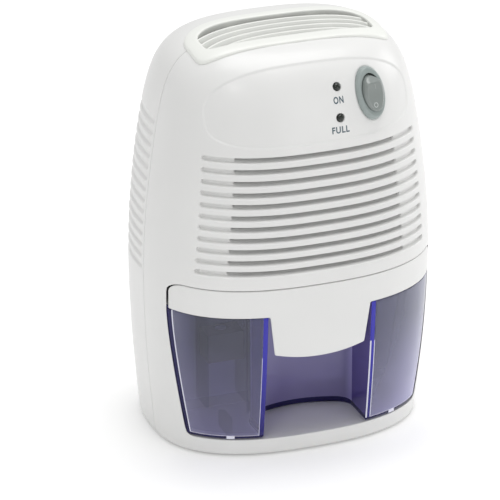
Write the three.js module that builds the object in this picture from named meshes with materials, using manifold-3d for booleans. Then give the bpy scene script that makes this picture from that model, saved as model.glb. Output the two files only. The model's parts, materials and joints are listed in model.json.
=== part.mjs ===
// A small thermoelectric dehumidifier: a two-piece plastic housing over a cold plate, a fan and a
// slide-out water tank. Millimetres, +Z up, the front faces -Y, +X is to the right seen from the front.
// The origin is on the ground under the centre of the housing.
import * as THREE from "three";
import { mergeVertices } from "three/addons/utils/BufferGeometryUtils.js";
import Module from "manifold-3d";

const wasm = await Module();
wasm.setup();

// ---- driving dimensions -------------------------------------------------------------------
const HEIGHT = 220; // top of the housing above the ground
const HALF_WIDTHS = [72.5, 77.1, 77.6, 71.7, 61.1]; // at five equal steps of height
const FRONT_DEPTHS = [53.4, 60.2, 63.4, 62.2, 65.5]; // from the centre plane forwards, same steps
const REAR_DEPTH = 63.5;
const FRONT_ROUNDNESS = 2.53; // exponents of the rounded plan outline
const REAR_ROUNDNESS = 2.68;
const SIDE_DOME = { start: 158.6, rise: 6.05, fall: 4.86 }; // how the sides close over the top
const FRONT_DOME = { start: 137.5, rise: 1.81, fall: 4.47 }; // how front and back close over the top
const WALL = 2.5;
const GAP = 0.3; // between pieces that touch
const GROUND_GAP = 1.2; // the housing's lower edge above the ground
const SEAM_Y = -6; // the plane where the two housings meet

const SLOT = { count: 11, top: 169.4, pitch: 6.087, height: 2.3, halfTop: 44.7, halfBottom: 50.1 };
const REAR_SLOT = { count: 14, top: 176.4, pitch: 6.087, height: 2.3, half: 45 };

const BAY = { top: 99, floor: 10.2, split: 83, half: 73.4, narrowing: 8.9, corner: 6, back: 5.6 };
const TANK_WALL = 2.2;
const TANK_FLOOR = 10.6;
const RECESS = { half: 28.5, depth: -21, bow: 4.5, corner: 6 }; // finger recess between the tank's lobes
const TONGUE = { half: 28, tipHalf: 25, corner: 60.7, tip: 57.2 };
const DRIP = { x: 0, y: -9, radius: 7 };
const DRAIN = { x: -58, y: -8, radius: 6 };

const GRILLE = {
  half: 53, front: -27.5, rear: 17, middle: -9, frontRoundness: 6, rearRoundness: 2.9, rise: 1.3,
};
const GRILLE_OPENING = { half: 46, front: -19.5, rear: 11, tieDrop: 3 };
const GRILLE_RIBS = { count: 4, last: 6.5, pitch: 6.5, bow: 9, width: 2.2, drop: 0.4, depth: 4 };
const GRILLE_LIP = 2.6;

const SWITCH = { x: 31, z: 195.6, tilt: 22, turn: 15 };
const BEZEL = { halfWidth: 8.2, halfLength: 13.5, low: -0.6, proud: 0.9, bodyDepth: 14 };
const ROCKER = { halfWidth: 5.9, halfLength: 9.8, rest: 9, pivotDepth: -2.4 };
const LED_X = 12.2;
const LED_RADIUS = 2;

const MODULE_Z = 140; // centre of the thermoelectric module
const FAN_Z = 145;
const FAN_SIZE = 80;

const SCREW_POSTS = [
  { name: "upper_left", x: -49, z: 188 },
  { name: "upper_right", x: 49, z: 188 },
  { name: "lower_left", x: -57, z: 108 },
  { name: "lower_right", x: 57, z: 108 },
];
const FEET = [
  { name: "front_left", x: -46, y: -28 },
  { name: "front_right", x: 46, y: -28 },
  { name: "rear_left", x: -46, y: 34 },
  { name: "rear_right", x: 46, y: 34 },
];
const BASE_SCREWS = [
  { name: "left", x: -52, y: 20 },
  { name: "right", x: 52, y: 20 },
];
const JACK = { x: -30, z: 24, nose: 5.2, bore: 3.2, pin: 1 };
const BASE = { low: 2, high: 5 };
const BASE_BOSS = { radius: 4, low: 6, high: 22 }; // where the base screws bite
const SCREW_BORE = 1.8;
const FRONT_POST = { radius: 4, bore: 14 }; // posts behind the front face that the housing screws bite into
const REAR_POST = { radius: 5.2, well: 3.9, floor: 12 }; // their wells in the rear, and where the heads sit

// ---- materials ----------------------------------------------------------------------------
const finish = (color, roughness, metalness = 0, opacity = 1) =>
  new THREE.MeshStandardMaterial({ color, roughness, metalness, opacity, transparent: opacity < 1 });
const WHITE = finish(0xeceded, 0.28);
const IVORY = finish(0xe9eae2, 0.35);
const VIOLET = finish(0x6a6ab8, 0.12, 0, 0.6);
const SLATE = finish(0x7d8a90, 0.35);
const LENS = finish(0x141a17, 0.15);
const DARK = finish(0x25272a, 0.55);
const RUBBER = finish(0x3a3b3d, 0.8);
const METAL = finish(0xb9bcc0, 0.35, 1);
const ALUMINIUM = finish(0xc9ccd0, 0.4, 1);
const CERAMIC = finish(0xf0efe9, 0.5);
const FOAM = finish(0x303134, 0.95);
const BOARD = finish(0x2c6b3f, 0.45);
const LEAD = finish(0x8c1f1f, 0.5);

// ---- solids -------------------------------------------------------------------------------
// A closed three.js geometry as a solid that can be joined and cut.
function solid(geometry) {
  const bare = geometry.index ? geometry.toNonIndexed() : geometry.clone();
  bare.deleteAttribute("normal");
  bare.deleteAttribute("uv");
  const merged = mergeVertices(bare, 1e-4);
  const mesh = new wasm.Mesh({
    numProp: 3,
    vertProperties: new Float32Array(merged.attributes.position.array),
    triVerts: new Uint32Array(merged.index.array),
  });
  return new wasm.Manifold(mesh);
}

// The faces of a joined or cut solid as a three.js geometry.
function surface(shape) {
  const mesh = shape.getMesh();
  const geometry = new THREE.BufferGeometry();
  geometry.setAttribute("position", new THREE.BufferAttribute(mesh.vertProperties, 3));
  geometry.setIndex(new THREE.BufferAttribute(mesh.triVerts, 1));
  geometry.computeVertexNormals();
  return geometry;
}

const join = (...shapes) => shapes.reduce((sum, shape) => sum.add(shape));
const cut = (shape, ...tools) => tools.reduce((rest, tool) => rest.subtract(tool), shape);

// A box between two corners.
function block(low, high) {
  const size = low.map((value, axis) => high[axis] - value);
  const middle = low.map((value, axis) => (value + high[axis]) / 2);
  return solid(new THREE.BoxGeometry(...size).translate(...middle));
}

// A cylinder along Y between two depths.
function rodAlongY(x, z, radius, y0, y1, sides = 16) {
  const bar = new THREE.CylinderGeometry(radius, radius, y1 - y0, sides);
  return solid(bar.translate(x, (y0 + y1) / 2, z));
}

// A cylinder along Z between two heights.
function rodAlongZ(x, y, radius, z0, z1, sides = 16) {
  const bar = new THREE.CylinderGeometry(radius, radius, z1 - z0, sides).rotateX(Math.PI / 2);
  return solid(bar.translate(x, y, (z0 + z1) / 2));
}

// A flat outline pushed along Z, or an outline drawn in X and Z pushed along Y.
function pushAlongZ(shape, z0, z1, curveSegments = 6) {
  const options = { depth: z1 - z0, bevelEnabled: false, curveSegments };
  return solid(new THREE.ExtrudeGeometry(shape, options).translate(0, 0, z0));
}
function pushAlongY(shape, y0, y1, curveSegments = 6) {
  const options = { depth: y1 - y0, bevelEnabled: false, curveSegments };
  return solid(new THREE.ExtrudeGeometry(shape, options).rotateX(Math.PI / 2).translate(0, y1, 0));
}

// A profile of radius and height turned round the Z axis.
function turned(profile, sides = 14) {
  const points = profile.map(([radius, height]) => new THREE.Vector2(radius, height));
  return solid(new THREE.LatheGeometry(points, sides).rotateX(Math.PI / 2));
}

function ellipse(halfWidth, halfLength) {
  return new THREE.Shape().absellipse(0, 0, halfWidth, halfLength, 0, 2 * Math.PI);
}

// ---- the rounded body ---------------------------------------------------------------------
// A smooth curve through five values spread evenly over the height.
function alongHeight(values, z) {
  const last = values.length - 1;
  const place = THREE.MathUtils.clamp((z / HEIGHT) * last, 0, last);
  const step = Math.min(Math.floor(place), last - 1);
  const slope = (i) => {
    if (i === 0) return 1.5 * (values[1] - values[0]) - (values[2] - values[0]) / 4;
    if (i === last) return 1.5 * (values[last] - values[last - 1]) - (values[last] - values[last - 2]) / 4;
    return (values[i + 1] - values[i - 1]) / 2;
  };
  const t = place - step;
  const rise = values[step + 1] - values[step];
  const curve = (slope(step) - rise) * (1 - t) - (slope(step + 1) - rise) * t;
  return values[step] + rise * t + t * (1 - t) * curve;
}

// How much of the full outline is left at a height, from 1 on the walls to 0 at the very top.
function dome({ start, rise, fall }, z) {
  const t = THREE.MathUtils.clamp((z - start) / (HEIGHT - start), 0, 1);
  return (1 - t ** rise) ** (1 / fall);
}

// Half width, front depth and rear depth at a height, on the surface that lies offset outside the body.
function reach(z, offset = 0) {
  const height = THREE.MathUtils.clamp((z * HEIGHT) / (HEIGHT + offset), 0, HEIGHT);
  const across = dome(SIDE_DOME, height);
  const deep = dome(FRONT_DOME, height);
  return {
    half: (alongHeight(HALF_WIDTHS, height) + offset) * across,
    front: (alongHeight(FRONT_DEPTHS, height) + offset) * deep,
    rear: (REAR_DEPTH + offset) * deep,
  };
}

// Depth of the front or rear face at a place across and up.
function frontFace(x, z, offset = 0) {
  const { half, front } = reach(z, offset);
  return -front * (1 - (Math.abs(x) / half) ** FRONT_ROUNDNESS) ** (1 / FRONT_ROUNDNESS);
}
function rearFace(x, z, offset = 0) {
  const { half, rear } = reach(z, offset);
  return rear * (1 - (Math.abs(x) / half) ** REAR_ROUNDNESS) ** (1 / REAR_ROUNDNESS);
}

const COLUMNS = 32;
const WALL_LEVELS = [135, 100, 65, 30];
const DOME_SPREADS = [0.35, 0.55, 0.7, 0.8, 0.88, 0.94, 0.98];

// The whole rounded body as one solid: a ball whose rows are moved onto the outlines of the body.
function bodySolid(offset = 0, bottom = GROUND_GAP) {
  const { start, rise, fall } = FRONT_DOME;
  const domeHeight = (spread) => start + (HEIGHT - start) * (1 - spread ** fall) ** (1 / rise);
  const stretch = (HEIGHT + offset) / HEIGHT;
  const levels = [...DOME_SPREADS.map(domeHeight), ...WALL_LEVELS].map((z) => z * stretch);
  const heights = [HEIGHT + offset, ...levels, bottom, bottom];
  const ball = new THREE.SphereGeometry(1, COLUMNS, heights.length - 1);
  const place = ball.attributes.position;
  heights.forEach((z, row) => {
    const pole = row === 0 || row === heights.length - 1;
    const { half, front, rear } = reach(z, offset);
    for (let column = 0; column <= COLUMNS; column += 1) {
      const angle = (2 * Math.PI * (column % COLUMNS)) / COLUMNS;
      const ahead = Math.sin(angle) > 0;
      const power = 2 / (ahead ? FRONT_ROUNDNESS : REAR_ROUNDNESS);
      const x = -Math.sign(Math.cos(angle)) * Math.abs(Math.cos(angle)) ** power * half;
      const y = (ahead ? -front : rear) * Math.abs(Math.sin(angle)) ** power;
      place.setXYZ(row * (COLUMNS + 1) + column, pole ? 0 : x, pole ? 0 : y, z);
    }
  });
  return solid(ball);
}

const outside = bodySolid();
const inside = bodySolid(-WALL, -5);
const fitInside = bodySolid(-WALL - GAP, -5); // what internal pieces may fill
const intoWall = bodySolid(-1, -5); // what posts and ribs may fill, so that they run into the wall

// A seat on the front face: +Z points out of the face, +X across it and +Y up along it.
function frontSeat(x, z, tilt, turn) {
  const up = THREE.MathUtils.degToRad(tilt);
  const round = THREE.MathUtils.degToRad(turn);
  const out = new THREE.Vector3(
    Math.sin(round) * Math.cos(up), -Math.cos(round) * Math.cos(up), Math.sin(up));
  const right = new THREE.Vector3(Math.cos(round), Math.sin(round), 0);
  const along = new THREE.Vector3().crossVectors(out, right);
  const seat = new THREE.Matrix4().makeBasis(right, along, out);
  return seat.setPosition(x, frontFace(x, z), z);
}

// The tilt and turn of the front face at a place, from its slope there.
function frontSlope(x, z) {
  const step = 0.5;
  const across = (frontFace(x + step, z) - frontFace(x - step, z)) / (2 * step);
  const up = (frontFace(x, z + step) - frontFace(x, z - step)) / (2 * step);
  const length = Math.hypot(across, 1, up);
  const tilt = THREE.MathUtils.radToDeg(Math.asin(up / length));
  return { tilt, turn: THREE.MathUtils.radToDeg(Math.atan2(across, 1)) };
}

const placed = (shape, matrix) => shape.transform(matrix.elements);

const switchSeat = frontSeat(SWITCH.x, SWITCH.z, SWITCH.tilt, SWITCH.turn);
const ledSeats = [
  { name: "led_on", z: 201.6 },
  { name: "led_full", z: 186.4 },
].map(({ name, z }) => {
  const { tilt, turn } = frontSlope(LED_X, z);
  return { name, seat: frontSeat(LED_X, z, tilt, turn) };
});

// ---- the water tank's opening -------------------------------------------------------------
// Half width of the opening at a height: straight at the cover, narrowing towards the floor.
function bayHalf(z) {
  const drop = Math.max(BAY.split - z, 0) / (BAY.split - BAY.floor);
  return BAY.half - BAY.narrowing * drop ** 1.45;
}

// The opening's outline in X and Z, shrunk by inset, between two heights.
function bayOutline(inset, low, high, topCorner = 0, lowCorner = 3) {
  const steps = 8;
  const side = Array.from({ length: steps + 1 }, (_, i) => {
    const z = low + ((high - topCorner - low) * i) / steps;
    return [bayHalf(z) - inset, z];
  });
  const [lowHalf] = side[0];
  const [highHalf] = side[steps];
  const right = lowCorner > 0 ? side.slice(1) : side;
  const outline = new THREE.Shape();
  outline.moveTo(-lowHalf + lowCorner, low);
  outline.lineTo(lowHalf - lowCorner, low);
  if (lowCorner > 0) outline.quadraticCurveTo(lowHalf, low, ...side[1]);
  right.slice(1).forEach(([x, z]) => outline.lineTo(x, z));
  if (topCorner > 0) {
    outline.absarc(highHalf - topCorner, high - topCorner, topCorner, 0, Math.PI / 2);
    outline.absarc(-highHalf + topCorner, high - topCorner, topCorner, Math.PI / 2, Math.PI);
  } else {
    outline.lineTo(-highHalf, high);
  }
  right.slice(0, -1).reverse().forEach(([x, z]) => outline.lineTo(-x, z));
  if (lowCorner > 0) outline.quadraticCurveTo(-lowHalf, low, -lowHalf + lowCorner, low);
  return outline;
}

// Plan outline of the finger recess, open at the front, with a bowed back wall.
function recessOutline(grow = 0) {
  const half = RECESS.half + grow;
  const back = RECESS.depth + grow;
  const edge = back - RECESS.bow;
  const outline = new THREE.Shape();
  outline.moveTo(-half, -90);
  outline.lineTo(half, -90);
  outline.lineTo(half, edge - RECESS.corner);
  outline.quadraticCurveTo(half, edge, half - RECESS.corner, edge);
  outline.quadraticCurveTo(0, back + RECESS.bow, -half + RECESS.corner, edge);
  outline.quadraticCurveTo(-half, edge, -half, edge - RECESS.corner);
  return outline;
}

// ---- pieces -------------------------------------------------------------------------------
const dehumidifier = new THREE.Group();
dehumidifier.name = "dehumidifier";

function part(name, shape, material, parent = dehumidifier) {
  const mesh = new THREE.Mesh(surface(shape), material);
  mesh.name = name;
  parent.add(mesh);
  return mesh;
}

// A round-ended slot cutter in X and Z.
function slotOutline(half, z, height) {
  const radius = height / 2;
  const outline = new THREE.Shape();
  outline.moveTo(-half + radius, z - radius);
  outline.absarc(half - radius, z, radius, -Math.PI / 2, Math.PI / 2);
  outline.absarc(-half + radius, z, radius, Math.PI / 2, (3 * Math.PI) / 2);
  return outline;
}

function slotCutters({ count, top, pitch, height }, halfAt, y0, y1) {
  return Array.from({ length: count }, (_, k) =>
    pushAlongY(slotOutline(halfAt(k / (count - 1)), top - pitch * k, height), y0, y1, 2));
}

// Plan outline of the top grille's frame or opening, shrunk by inset: an arch behind a squarer front.
function grilleOutline({ half, front, rear }, inset, points = 24) {
  const { middle, frontRoundness, rearRoundness } = GRILLE;
  const outline = new THREE.Shape();
  for (let i = 0; i < points; i += 1) {
    const angle = (2 * Math.PI * i) / points;
    const behind = i < points / 2;
    const power = 2 / (behind ? rearRoundness : frontRoundness);
    const deep = (behind ? rear - middle : middle - front) - inset;
    const across = Math.sign(Math.cos(angle)) * Math.abs(Math.cos(angle)) ** power;
    const along = Math.sign(Math.sin(angle)) * Math.abs(Math.sin(angle)) ** power;
    const [x, y] = [across * (half - inset), middle + along * deep];
    if (i === 0) outline.moveTo(x, y);
    else outline.lineTo(x, y);
  }
  return outline;
}

const ledHole = rodAlongZ(0, 0, LED_RADIUS + 0.3, -12, 6, 12);

function makeHousings() {
  const shell = cut(outside, inside, pushAlongZ(grilleOutline(GRILLE, GRILLE_LIP), 195, 230));
  const frontHalf = block([-100, -90, -10], [100, SEAM_Y - GAP / 2, 240]);
  const rearHalf = block([-100, SEAM_Y + GAP / 2, -10], [100, 90, 240]);

  const opening = pushAlongY(bayOutline(0, BAY.floor, BAY.top, BAY.corner), -90, SEAM_Y - 4);
  const bayFloor = block([-90, -90, BAY.floor - WALL], [90, SEAM_Y - GAP / 2, BAY.floor]);
  const frontPosts = SCREW_POSTS.map(({ x, z }) =>
    rodAlongY(x, z, FRONT_POST.radius, frontFace(x, z), SEAM_Y - GAP / 2, 14).intersect(intoWall));
  const frontBores = SCREW_POSTS.map(({ x, z }) =>
    rodAlongY(x, z, SCREW_BORE, SEAM_Y - FRONT_POST.bore, SEAM_Y + 5, 10));
  const halfAt = (t) => THREE.MathUtils.lerp(SLOT.halfTop, SLOT.halfBottom, t);
  const switchHole = placed(
    join(
      pushAlongZ(ellipse(7.2, 12.5), -16, 8),
      pushAlongZ(ellipse(BEZEL.halfWidth + GAP, BEZEL.halfLength + GAP), BEZEL.low - GAP, 8),
    ),
    switchSeat,
  );
  const front = cut(
    join(cut(shell.intersect(frontHalf), opening), bayFloor.intersect(intoWall), ...frontPosts),
    ...frontBores,
    ...slotCutters(SLOT, halfAt, -90, -38),
    switchHole,
    ...ledSeats.map(({ seat }) => placed(ledHole, seat)),
  );
  part("front_housing", front, WHITE);

  const rearPosts = SCREW_POSTS.map(({ x, z }) =>
    rodAlongY(x, z, REAR_POST.radius, SEAM_Y + GAP / 2, rearFace(x, z), 16).intersect(intoWall));
  const baseBosses = BASE_SCREWS.map(({ x, y }) => {
    const [x0, x1] = [x, x * 1.5].sort((a, b) => a - b);
    const rib = block([x0, y - 1, BASE_BOSS.low], [x1, y + 1, BASE_BOSS.high - 2]);
    const boss = rodAlongZ(x, y, BASE_BOSS.radius, BASE_BOSS.low, BASE_BOSS.high, 14);
    return join(boss, rib).intersect(intoWall);
  });
  const rear = cut(
    join(shell.intersect(rearHalf), ...rearPosts, ...baseBosses),
    ...SCREW_POSTS.map(({ x, z }) => rodAlongY(x, z, SCREW_BORE, SEAM_Y - 2, REAR_POST.floor + 1, 10)),
    ...SCREW_POSTS.map(({ x, z }) => rodAlongY(x, z, REAR_POST.well, REAR_POST.floor, 80, 14)),
    ...BASE_SCREWS.map(({ x, y }) => rodAlongZ(x, y, SCREW_BORE, BASE_BOSS.low - 1, BASE_BOSS.high - 2, 10)),
    ...slotCutters(REAR_SLOT, () => REAR_SLOT.half, 38, 90),
    rodAlongY(JACK.x, JACK.z, JACK.nose + GAP, 40, 80, 20),
  );
  part("rear_housing", rear, WHITE);
}

function makeBase() {
  const holes = BASE_SCREWS.map(({ x, y }) => rodAlongZ(x, y, 1.9, 0, 10, 10));
  const sinks = BASE_SCREWS.map(({ x, y }) => rodAlongZ(x, y, 3.6, 0, BASE.low + 1.6, 14));
  const plate = block([-90, -90, BASE.low], [90, 90, BASE.high]).intersect(fitInside);
  const sockets = FEET.map(({ x, y }) => rodAlongZ(x, y, 3.3, 0, 10, 14));
  part("base_plate", cut(plate, ...holes, ...sinks, ...sockets), WHITE);
  FEET.forEach(({ name, x, y }) => {
    const under = BASE.low - GAP;
    const foot = turned([[0, 0], [6.4, 0], [7, 0.5], [7, under], [3, under], [3, 4.4], [0, 4.4]]);
    part(`foot_${name}`, foot.translate([x, y, 0]), RUBBER);
  });
  BASE_SCREWS.forEach(({ name, x, y }) => {
    const screw = turned([[0, 1], [3.2, 1], [3.2, 3], [1.5, 3], [1.5, 18], [0, 18.6]], 12);
    part(`base_screw_${name}`, screw.translate([x, y, 0.3]), METAL);
  });
}

const HEAD_HEIGHT = 2;

// A screw along -Y: its head's outer face at y, its shank reaching forwards.
function screwAlongY(name, x, y, z, length, headRadius = 3.1, shankRadius = 1.5, parent = dehumidifier) {
  const profile = [
    [0, 0], [headRadius - 0.5, 0], [headRadius, 0.5], [headRadius, HEAD_HEIGHT], [shankRadius, HEAD_HEIGHT],
    [shankRadius, length + 1.5], [0, length + 2],
  ];
  const screw = placed(turned(profile, 8), new THREE.Matrix4().makeRotationX(Math.PI / 2));
  return part(name, screw.translate([x, y, z]), METAL, parent);
}

function makeHousingScrews() {
  SCREW_POSTS.forEach(({ name, x, z }) => {
    screwAlongY(`housing_screw_${name}`, x, REAR_POST.floor + HEAD_HEIGHT + GAP, z, 29);
  });
}

// Plan outline of one outlet rib, whose ends bend forwards.
function ribOutline(y, half, points = 14) {
  const along = Array.from({ length: points }, (_, i) => half * ((2 * i) / (points - 1) - 1));
  const edge = (side) => along.map((x) =>
    new THREE.Vector2(x, y - GRILLE_RIBS.bow * (x / GRILLE_OPENING.half) ** 2 + (side * GRILLE_RIBS.width) / 2));
  return new THREE.Shape([...edge(-1), ...edge(1).reverse()]);
}

function makeGrille() {
  const crown = bodySolid(GRILLE.rise, 150);
  const lipUnder = bodySolid(GAP, 140);
  const skirtUnder = bodySolid(-WALL - 1.5, 140);
  const ribTop = bodySolid(-GRILLE_RIBS.drop, 150);
  const ribUnder = bodySolid(-GRILLE_RIBS.drop - GRILLE_RIBS.depth, 140);
  const tieTop = bodySolid(-GRILLE_OPENING.tieDrop, 150);
  const frame = (outlineOf, inset) => pushAlongZ(grilleOutline(outlineOf, inset), 190, 240);
  const openingTool = frame(GRILLE_OPENING, 0);
  const lip = cut(frame(GRILLE, 0).intersect(crown), lipUnder);
  const skirt = cut(frame(GRILLE, GRILLE_LIP + GAP).intersect(crown), skirtUnder);
  const { front, rear, half } = GRILLE_OPENING;
  const bars = Array.from({ length: GRILLE_RIBS.count }, (_, i) =>
    pushAlongZ(ribOutline(GRILLE_RIBS.last - GRILLE_RIBS.pitch * i, half + 2), 190, 240));
  const ties = [-22, 22].map((x) => block([x - 1, front - 2, 190], [x + 1, rear + 2, 240]));
  const within = frame(GRILLE, GRILLE_LIP + 2 * GAP);
  const ribBand = cut(join(...bars).intersect(ribTop), ribUnder).intersect(within);
  const tieBand = cut(join(...ties).intersect(tieTop), ribUnder).intersect(within);
  part("top_grille", join(cut(join(lip, skirt), openingTool), ribBand, tieBand), IVORY);
}

// ---- tank -----------------------------------------------------------------------------------
const TANK_INSET = 0.4;
const TANK_TOP = BAY.split - 0.2;
const FLOAT = { x: -34, width: 20, depth: 13, low: 38, high: 54, back: 2.2 };

function makeTank() {
  const tank = new THREE.Group();
  tank.name = "tank_drawer";
  dehumidifier.add(tank);

  const skin = bodySolid(-0.1, 0);
  const body = cut(
    pushAlongY(bayOutline(TANK_INSET, TANK_FLOOR, TANK_TOP), -90, BAY.back).intersect(skin),
    pushAlongZ(recessOutline(), 0, 100),
  );
  const hollowFloor = TANK_FLOOR + TANK_WALL;
  const hollow = cut(
    pushAlongY(bayOutline(TANK_INSET + TANK_WALL, hollowFloor, 90), -90, BAY.back - TANK_WALL)
      .intersect(bodySolid(-0.1 - TANK_WALL, 0)),
    pushAlongZ(recessOutline(TANK_WALL), 0, 100),
  );
  // Two upright rails and a shelf on the back wall guide the float.
  const railY = [FLOAT.back - FLOAT.depth - 1, BAY.back - TANK_WALL + 1];
  const rails = [-1, 1].map((side) => {
    const inner = FLOAT.x + side * (FLOAT.width / 2 + GAP);
    const [x0, x1] = [inner, inner + side * 1.6].sort((a, b) => a - b);
    return block([x0, railY[0], hollowFloor - 1], [x1, railY[1], 76]);
  });
  const half = FLOAT.width / 2;
  const shelf = block(
    [FLOAT.x - half - 1, railY[0], FLOAT.low - 2], [FLOAT.x + half + 1, railY[1], FLOAT.low - GAP]);
  part("tank", join(cut(body, hollow), ...rails, shelf), VIOLET, tank);

  const magnet = { y: FLOAT.back - 4.5, radius: 3, low: FLOAT.high - 4.7, high: FLOAT.high - 0.2 };
  const floatBody = cut(
    block([FLOAT.x - half, FLOAT.back - FLOAT.depth, FLOAT.low], [FLOAT.x + half, FLOAT.back, FLOAT.high]),
    rodAlongZ(FLOAT.x, magnet.y, magnet.radius + GAP, magnet.low - GAP, FLOAT.high + 1, 16),
  );
  part("tank_float", floatBody, DARK, tank);
  part("float_magnet", rodAlongZ(FLOAT.x, magnet.y, magnet.radius, magnet.low, magnet.high, 16), METAL, tank);

  const coverSkin = cut(bodySolid(-0.1, 0), bodySolid(-0.1 - WALL, -5));
  const lidLow = TANK_TOP + GAP;
  const fascia = pushAlongY(bayOutline(TANK_INSET, lidLow, BAY.top - TANK_INSET, BAY.corner, 0), -90, -15);
  const tongue = new THREE.Shape();
  tongue.moveTo(-TONGUE.half, lidLow + 1);
  tongue.lineTo(-TONGUE.tipHalf, TONGUE.corner);
  tongue.quadraticCurveTo(0, 2 * TONGUE.tip - TONGUE.corner, TONGUE.tipHalf, TONGUE.corner);
  tongue.lineTo(TONGUE.half, lidLow + 1);
  const front = coverSkin.intersect(join(fascia, pushAlongY(tongue, -90, -30, 8)));
  const lid = pushAlongY(bayOutline(TANK_INSET + 0.2, lidLow, lidLow + 2, 0, 0), -90, BAY.back)
    .intersect(bodySolid(-1, 0));
  const collar = rodAlongZ(DRIP.x, DRIP.y, DRIP.radius + 1.6, lidLow + 1, lidLow + 3.5, 20);
  const cover = cut(
    join(front, lid, collar),
    rodAlongZ(DRIP.x, DRIP.y, DRIP.radius, 60, 100, 20),
    rodAlongZ(DRAIN.x, DRAIN.y, DRAIN.radius + GAP, 60, 100, 16),
  );
  part("tank_cover", cover, WHITE, tank);

  const plug = turned([
    [0, lidLow - 3], [DRAIN.radius - 0.4, lidLow - 3], [DRAIN.radius, lidLow - 1],
    [DRAIN.radius, lidLow + 2.4],
    [DRAIN.radius + 2.4, lidLow + 2.4], [DRAIN.radius + 2.4, lidLow + 4.2], [0, lidLow + 4.2],
  ], 16);
  part("drain_plug", plug.translate([DRAIN.x, DRAIN.y, 0]), RUBBER, tank);
}

// ---- switch and lamps -----------------------------------------------------------------------
function makeControls() {
  const bezelGroup = new THREE.Group();
  bezelGroup.applyMatrix4(switchSeat);
  dehumidifier.add(bezelGroup);
  const { halfWidth, halfLength, low, proud, bodyDepth } = BEZEL;
  const well = pushAlongZ(ellipse(ROCKER.halfWidth + 0.5, ROCKER.halfLength + 1.2), -8, 8);
  const pivotHole = (radius, half) => placed(rodAlongY(0, 0, radius, -half, half, 12), new THREE.Matrix4()
    .makeTranslation(0, 0, ROCKER.pivotDepth).multiply(new THREE.Matrix4().makeRotationZ(Math.PI / 2)));
  const bezel = cut(
    join(
      pushAlongZ(ellipse(halfWidth, halfLength), low, proud),
      pushAlongZ(ellipse(halfWidth - 0.7, halfLength - 0.7), proud - 0.1, proud + 0.7),
      pushAlongZ(ellipse(6.9, 12.2), -bodyDepth, proud),
    ),
    well,
    pivotHole(1.15, 8),
  );
  part("switch_bezel", bezel, SLATE, bezelGroup);

  const rock = new THREE.Group();
  rock.position.z = ROCKER.pivotDepth;
  rock.rotation.x = THREE.MathUtils.degToRad(ROCKER.rest);
  bezelGroup.add(rock);
  const side = new THREE.Shape();
  side.moveTo(-ROCKER.halfLength - 1, -3.6);
  side.lineTo(ROCKER.halfLength + 1, -3.6);
  side.lineTo(ROCKER.halfLength + 1, 5.4);
  side.lineTo(0, 3.9);
  side.lineTo(-ROCKER.halfLength - 1, 5.4);
  const wedge = placed(
    pushAlongZ(side, -20, 20), new THREE.Matrix4().makeRotationY(Math.PI / 2)
      .multiply(new THREE.Matrix4().makeRotationZ(Math.PI / 2)));
  const rocker = join(
    wedge.intersect(pushAlongZ(ellipse(ROCKER.halfWidth, ROCKER.halfLength), -10, 10, 10)),
    placed(rodAlongY(0, 0, 0.95, -6.6, 6.6, 12), new THREE.Matrix4().makeRotationZ(Math.PI / 2)),
  );
  part("power_rocker", rocker, SLATE, rock);

  ledSeats.forEach(({ name, seat }) => {
    const lamp = turned([
      [0, -6.5], [2.4, -6.5], [2.4, -WALL - 2], [LED_RADIUS, -WALL - 2], [LED_RADIUS, -0.6],
      [LED_RADIUS * 0.8, 0.1], [0, 0.6],
    ], 12);
    part(name, placed(lamp, seat), LENS);
  });
  const board = placed(
    block([-11, -13, -10.4], [5, 9, -9]), frontSeat(LED_X, 195, frontSlope(LED_X, 195).tilt, 4));
  part("indicator_board", board, BOARD);
}

// ---- inner works ----------------------------------------------------------------------------
const SHELF = { low: 100.6, high: 102.8 };
const SPOUT = { wide: DRIP.radius + 3, narrow: DRIP.radius - 1.4, bore: DRIP.radius - 2.6, tip: 88.6 };
const BAY_WALL = { front: BAY.back + 0.4, rear: BAY.back + 2.4 };
const BOARD_PLATE = { front: 20, rear: 21.6, low: 26, high: 84, half: 44 };
const BOARD_POSTS = [[-38, 32], [38, 32], [-38, 78], [38, 78]];

function makeChassis() {
  const shelf = block([-90, -90, SHELF.low], [90, BAY_WALL.rear, SHELF.high]);
  const wall = block([-90, BAY_WALL.front, BAY.floor - WALL], [90, BAY_WALL.rear, SHELF.high]);
  const floor = block([-90, SEAM_Y + 0.4, BAY.floor - WALL], [90, BAY_WALL.rear, BAY.floor]);
  const posts = BOARD_POSTS.map(([x, z]) =>
    rodAlongY(x, z, 3, BAY_WALL.rear - 0.5, BOARD_PLATE.front - GAP, 12));
  const { wide, narrow, bore, tip } = SPOUT;
  const spout = turned([[0, tip], [narrow, tip], [wide, SHELF.low + 1], [0, SHELF.low + 1]], 20);
  const throat = turned([[0, tip - 8], [bore, tip - 8], [bore, tip + 1.4], [wide, 105], [0, 105]], 20);
  const chassis = cut(
    join(join(shelf, wall, floor).intersect(fitInside), ...posts, spout.translate([DRIP.x, DRIP.y, 0])),
    throat.translate([DRIP.x, DRIP.y, 0]),
    ...BOARD_POSTS.map(([x, z]) => rodAlongY(x, z, 1.3, BAY_WALL.rear + 1, BOARD_PLATE.rear + 2, 10)),
  );
  part("inner_chassis", chassis, WHITE);
  const sensor = block([FLOAT.x - 5, BAY_WALL.rear + GAP, 56], [FLOAT.x + 5, BAY_WALL.rear + 5, 70]);
  part("level_sensor", sensor, DARK);
}

// Plates standing side by side on a heat sink's base, pitch apart and centred on x = 0.
function fins(count, pitch, thickness, y0, y1, z0, z1) {
  return Array.from({ length: count }, (_, i) => {
    const x = (i - (count - 1) / 2) * pitch;
    return block([x - thickness / 2, y0, z0], [x + thickness / 2, y1, z1]);
  });
}

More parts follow.
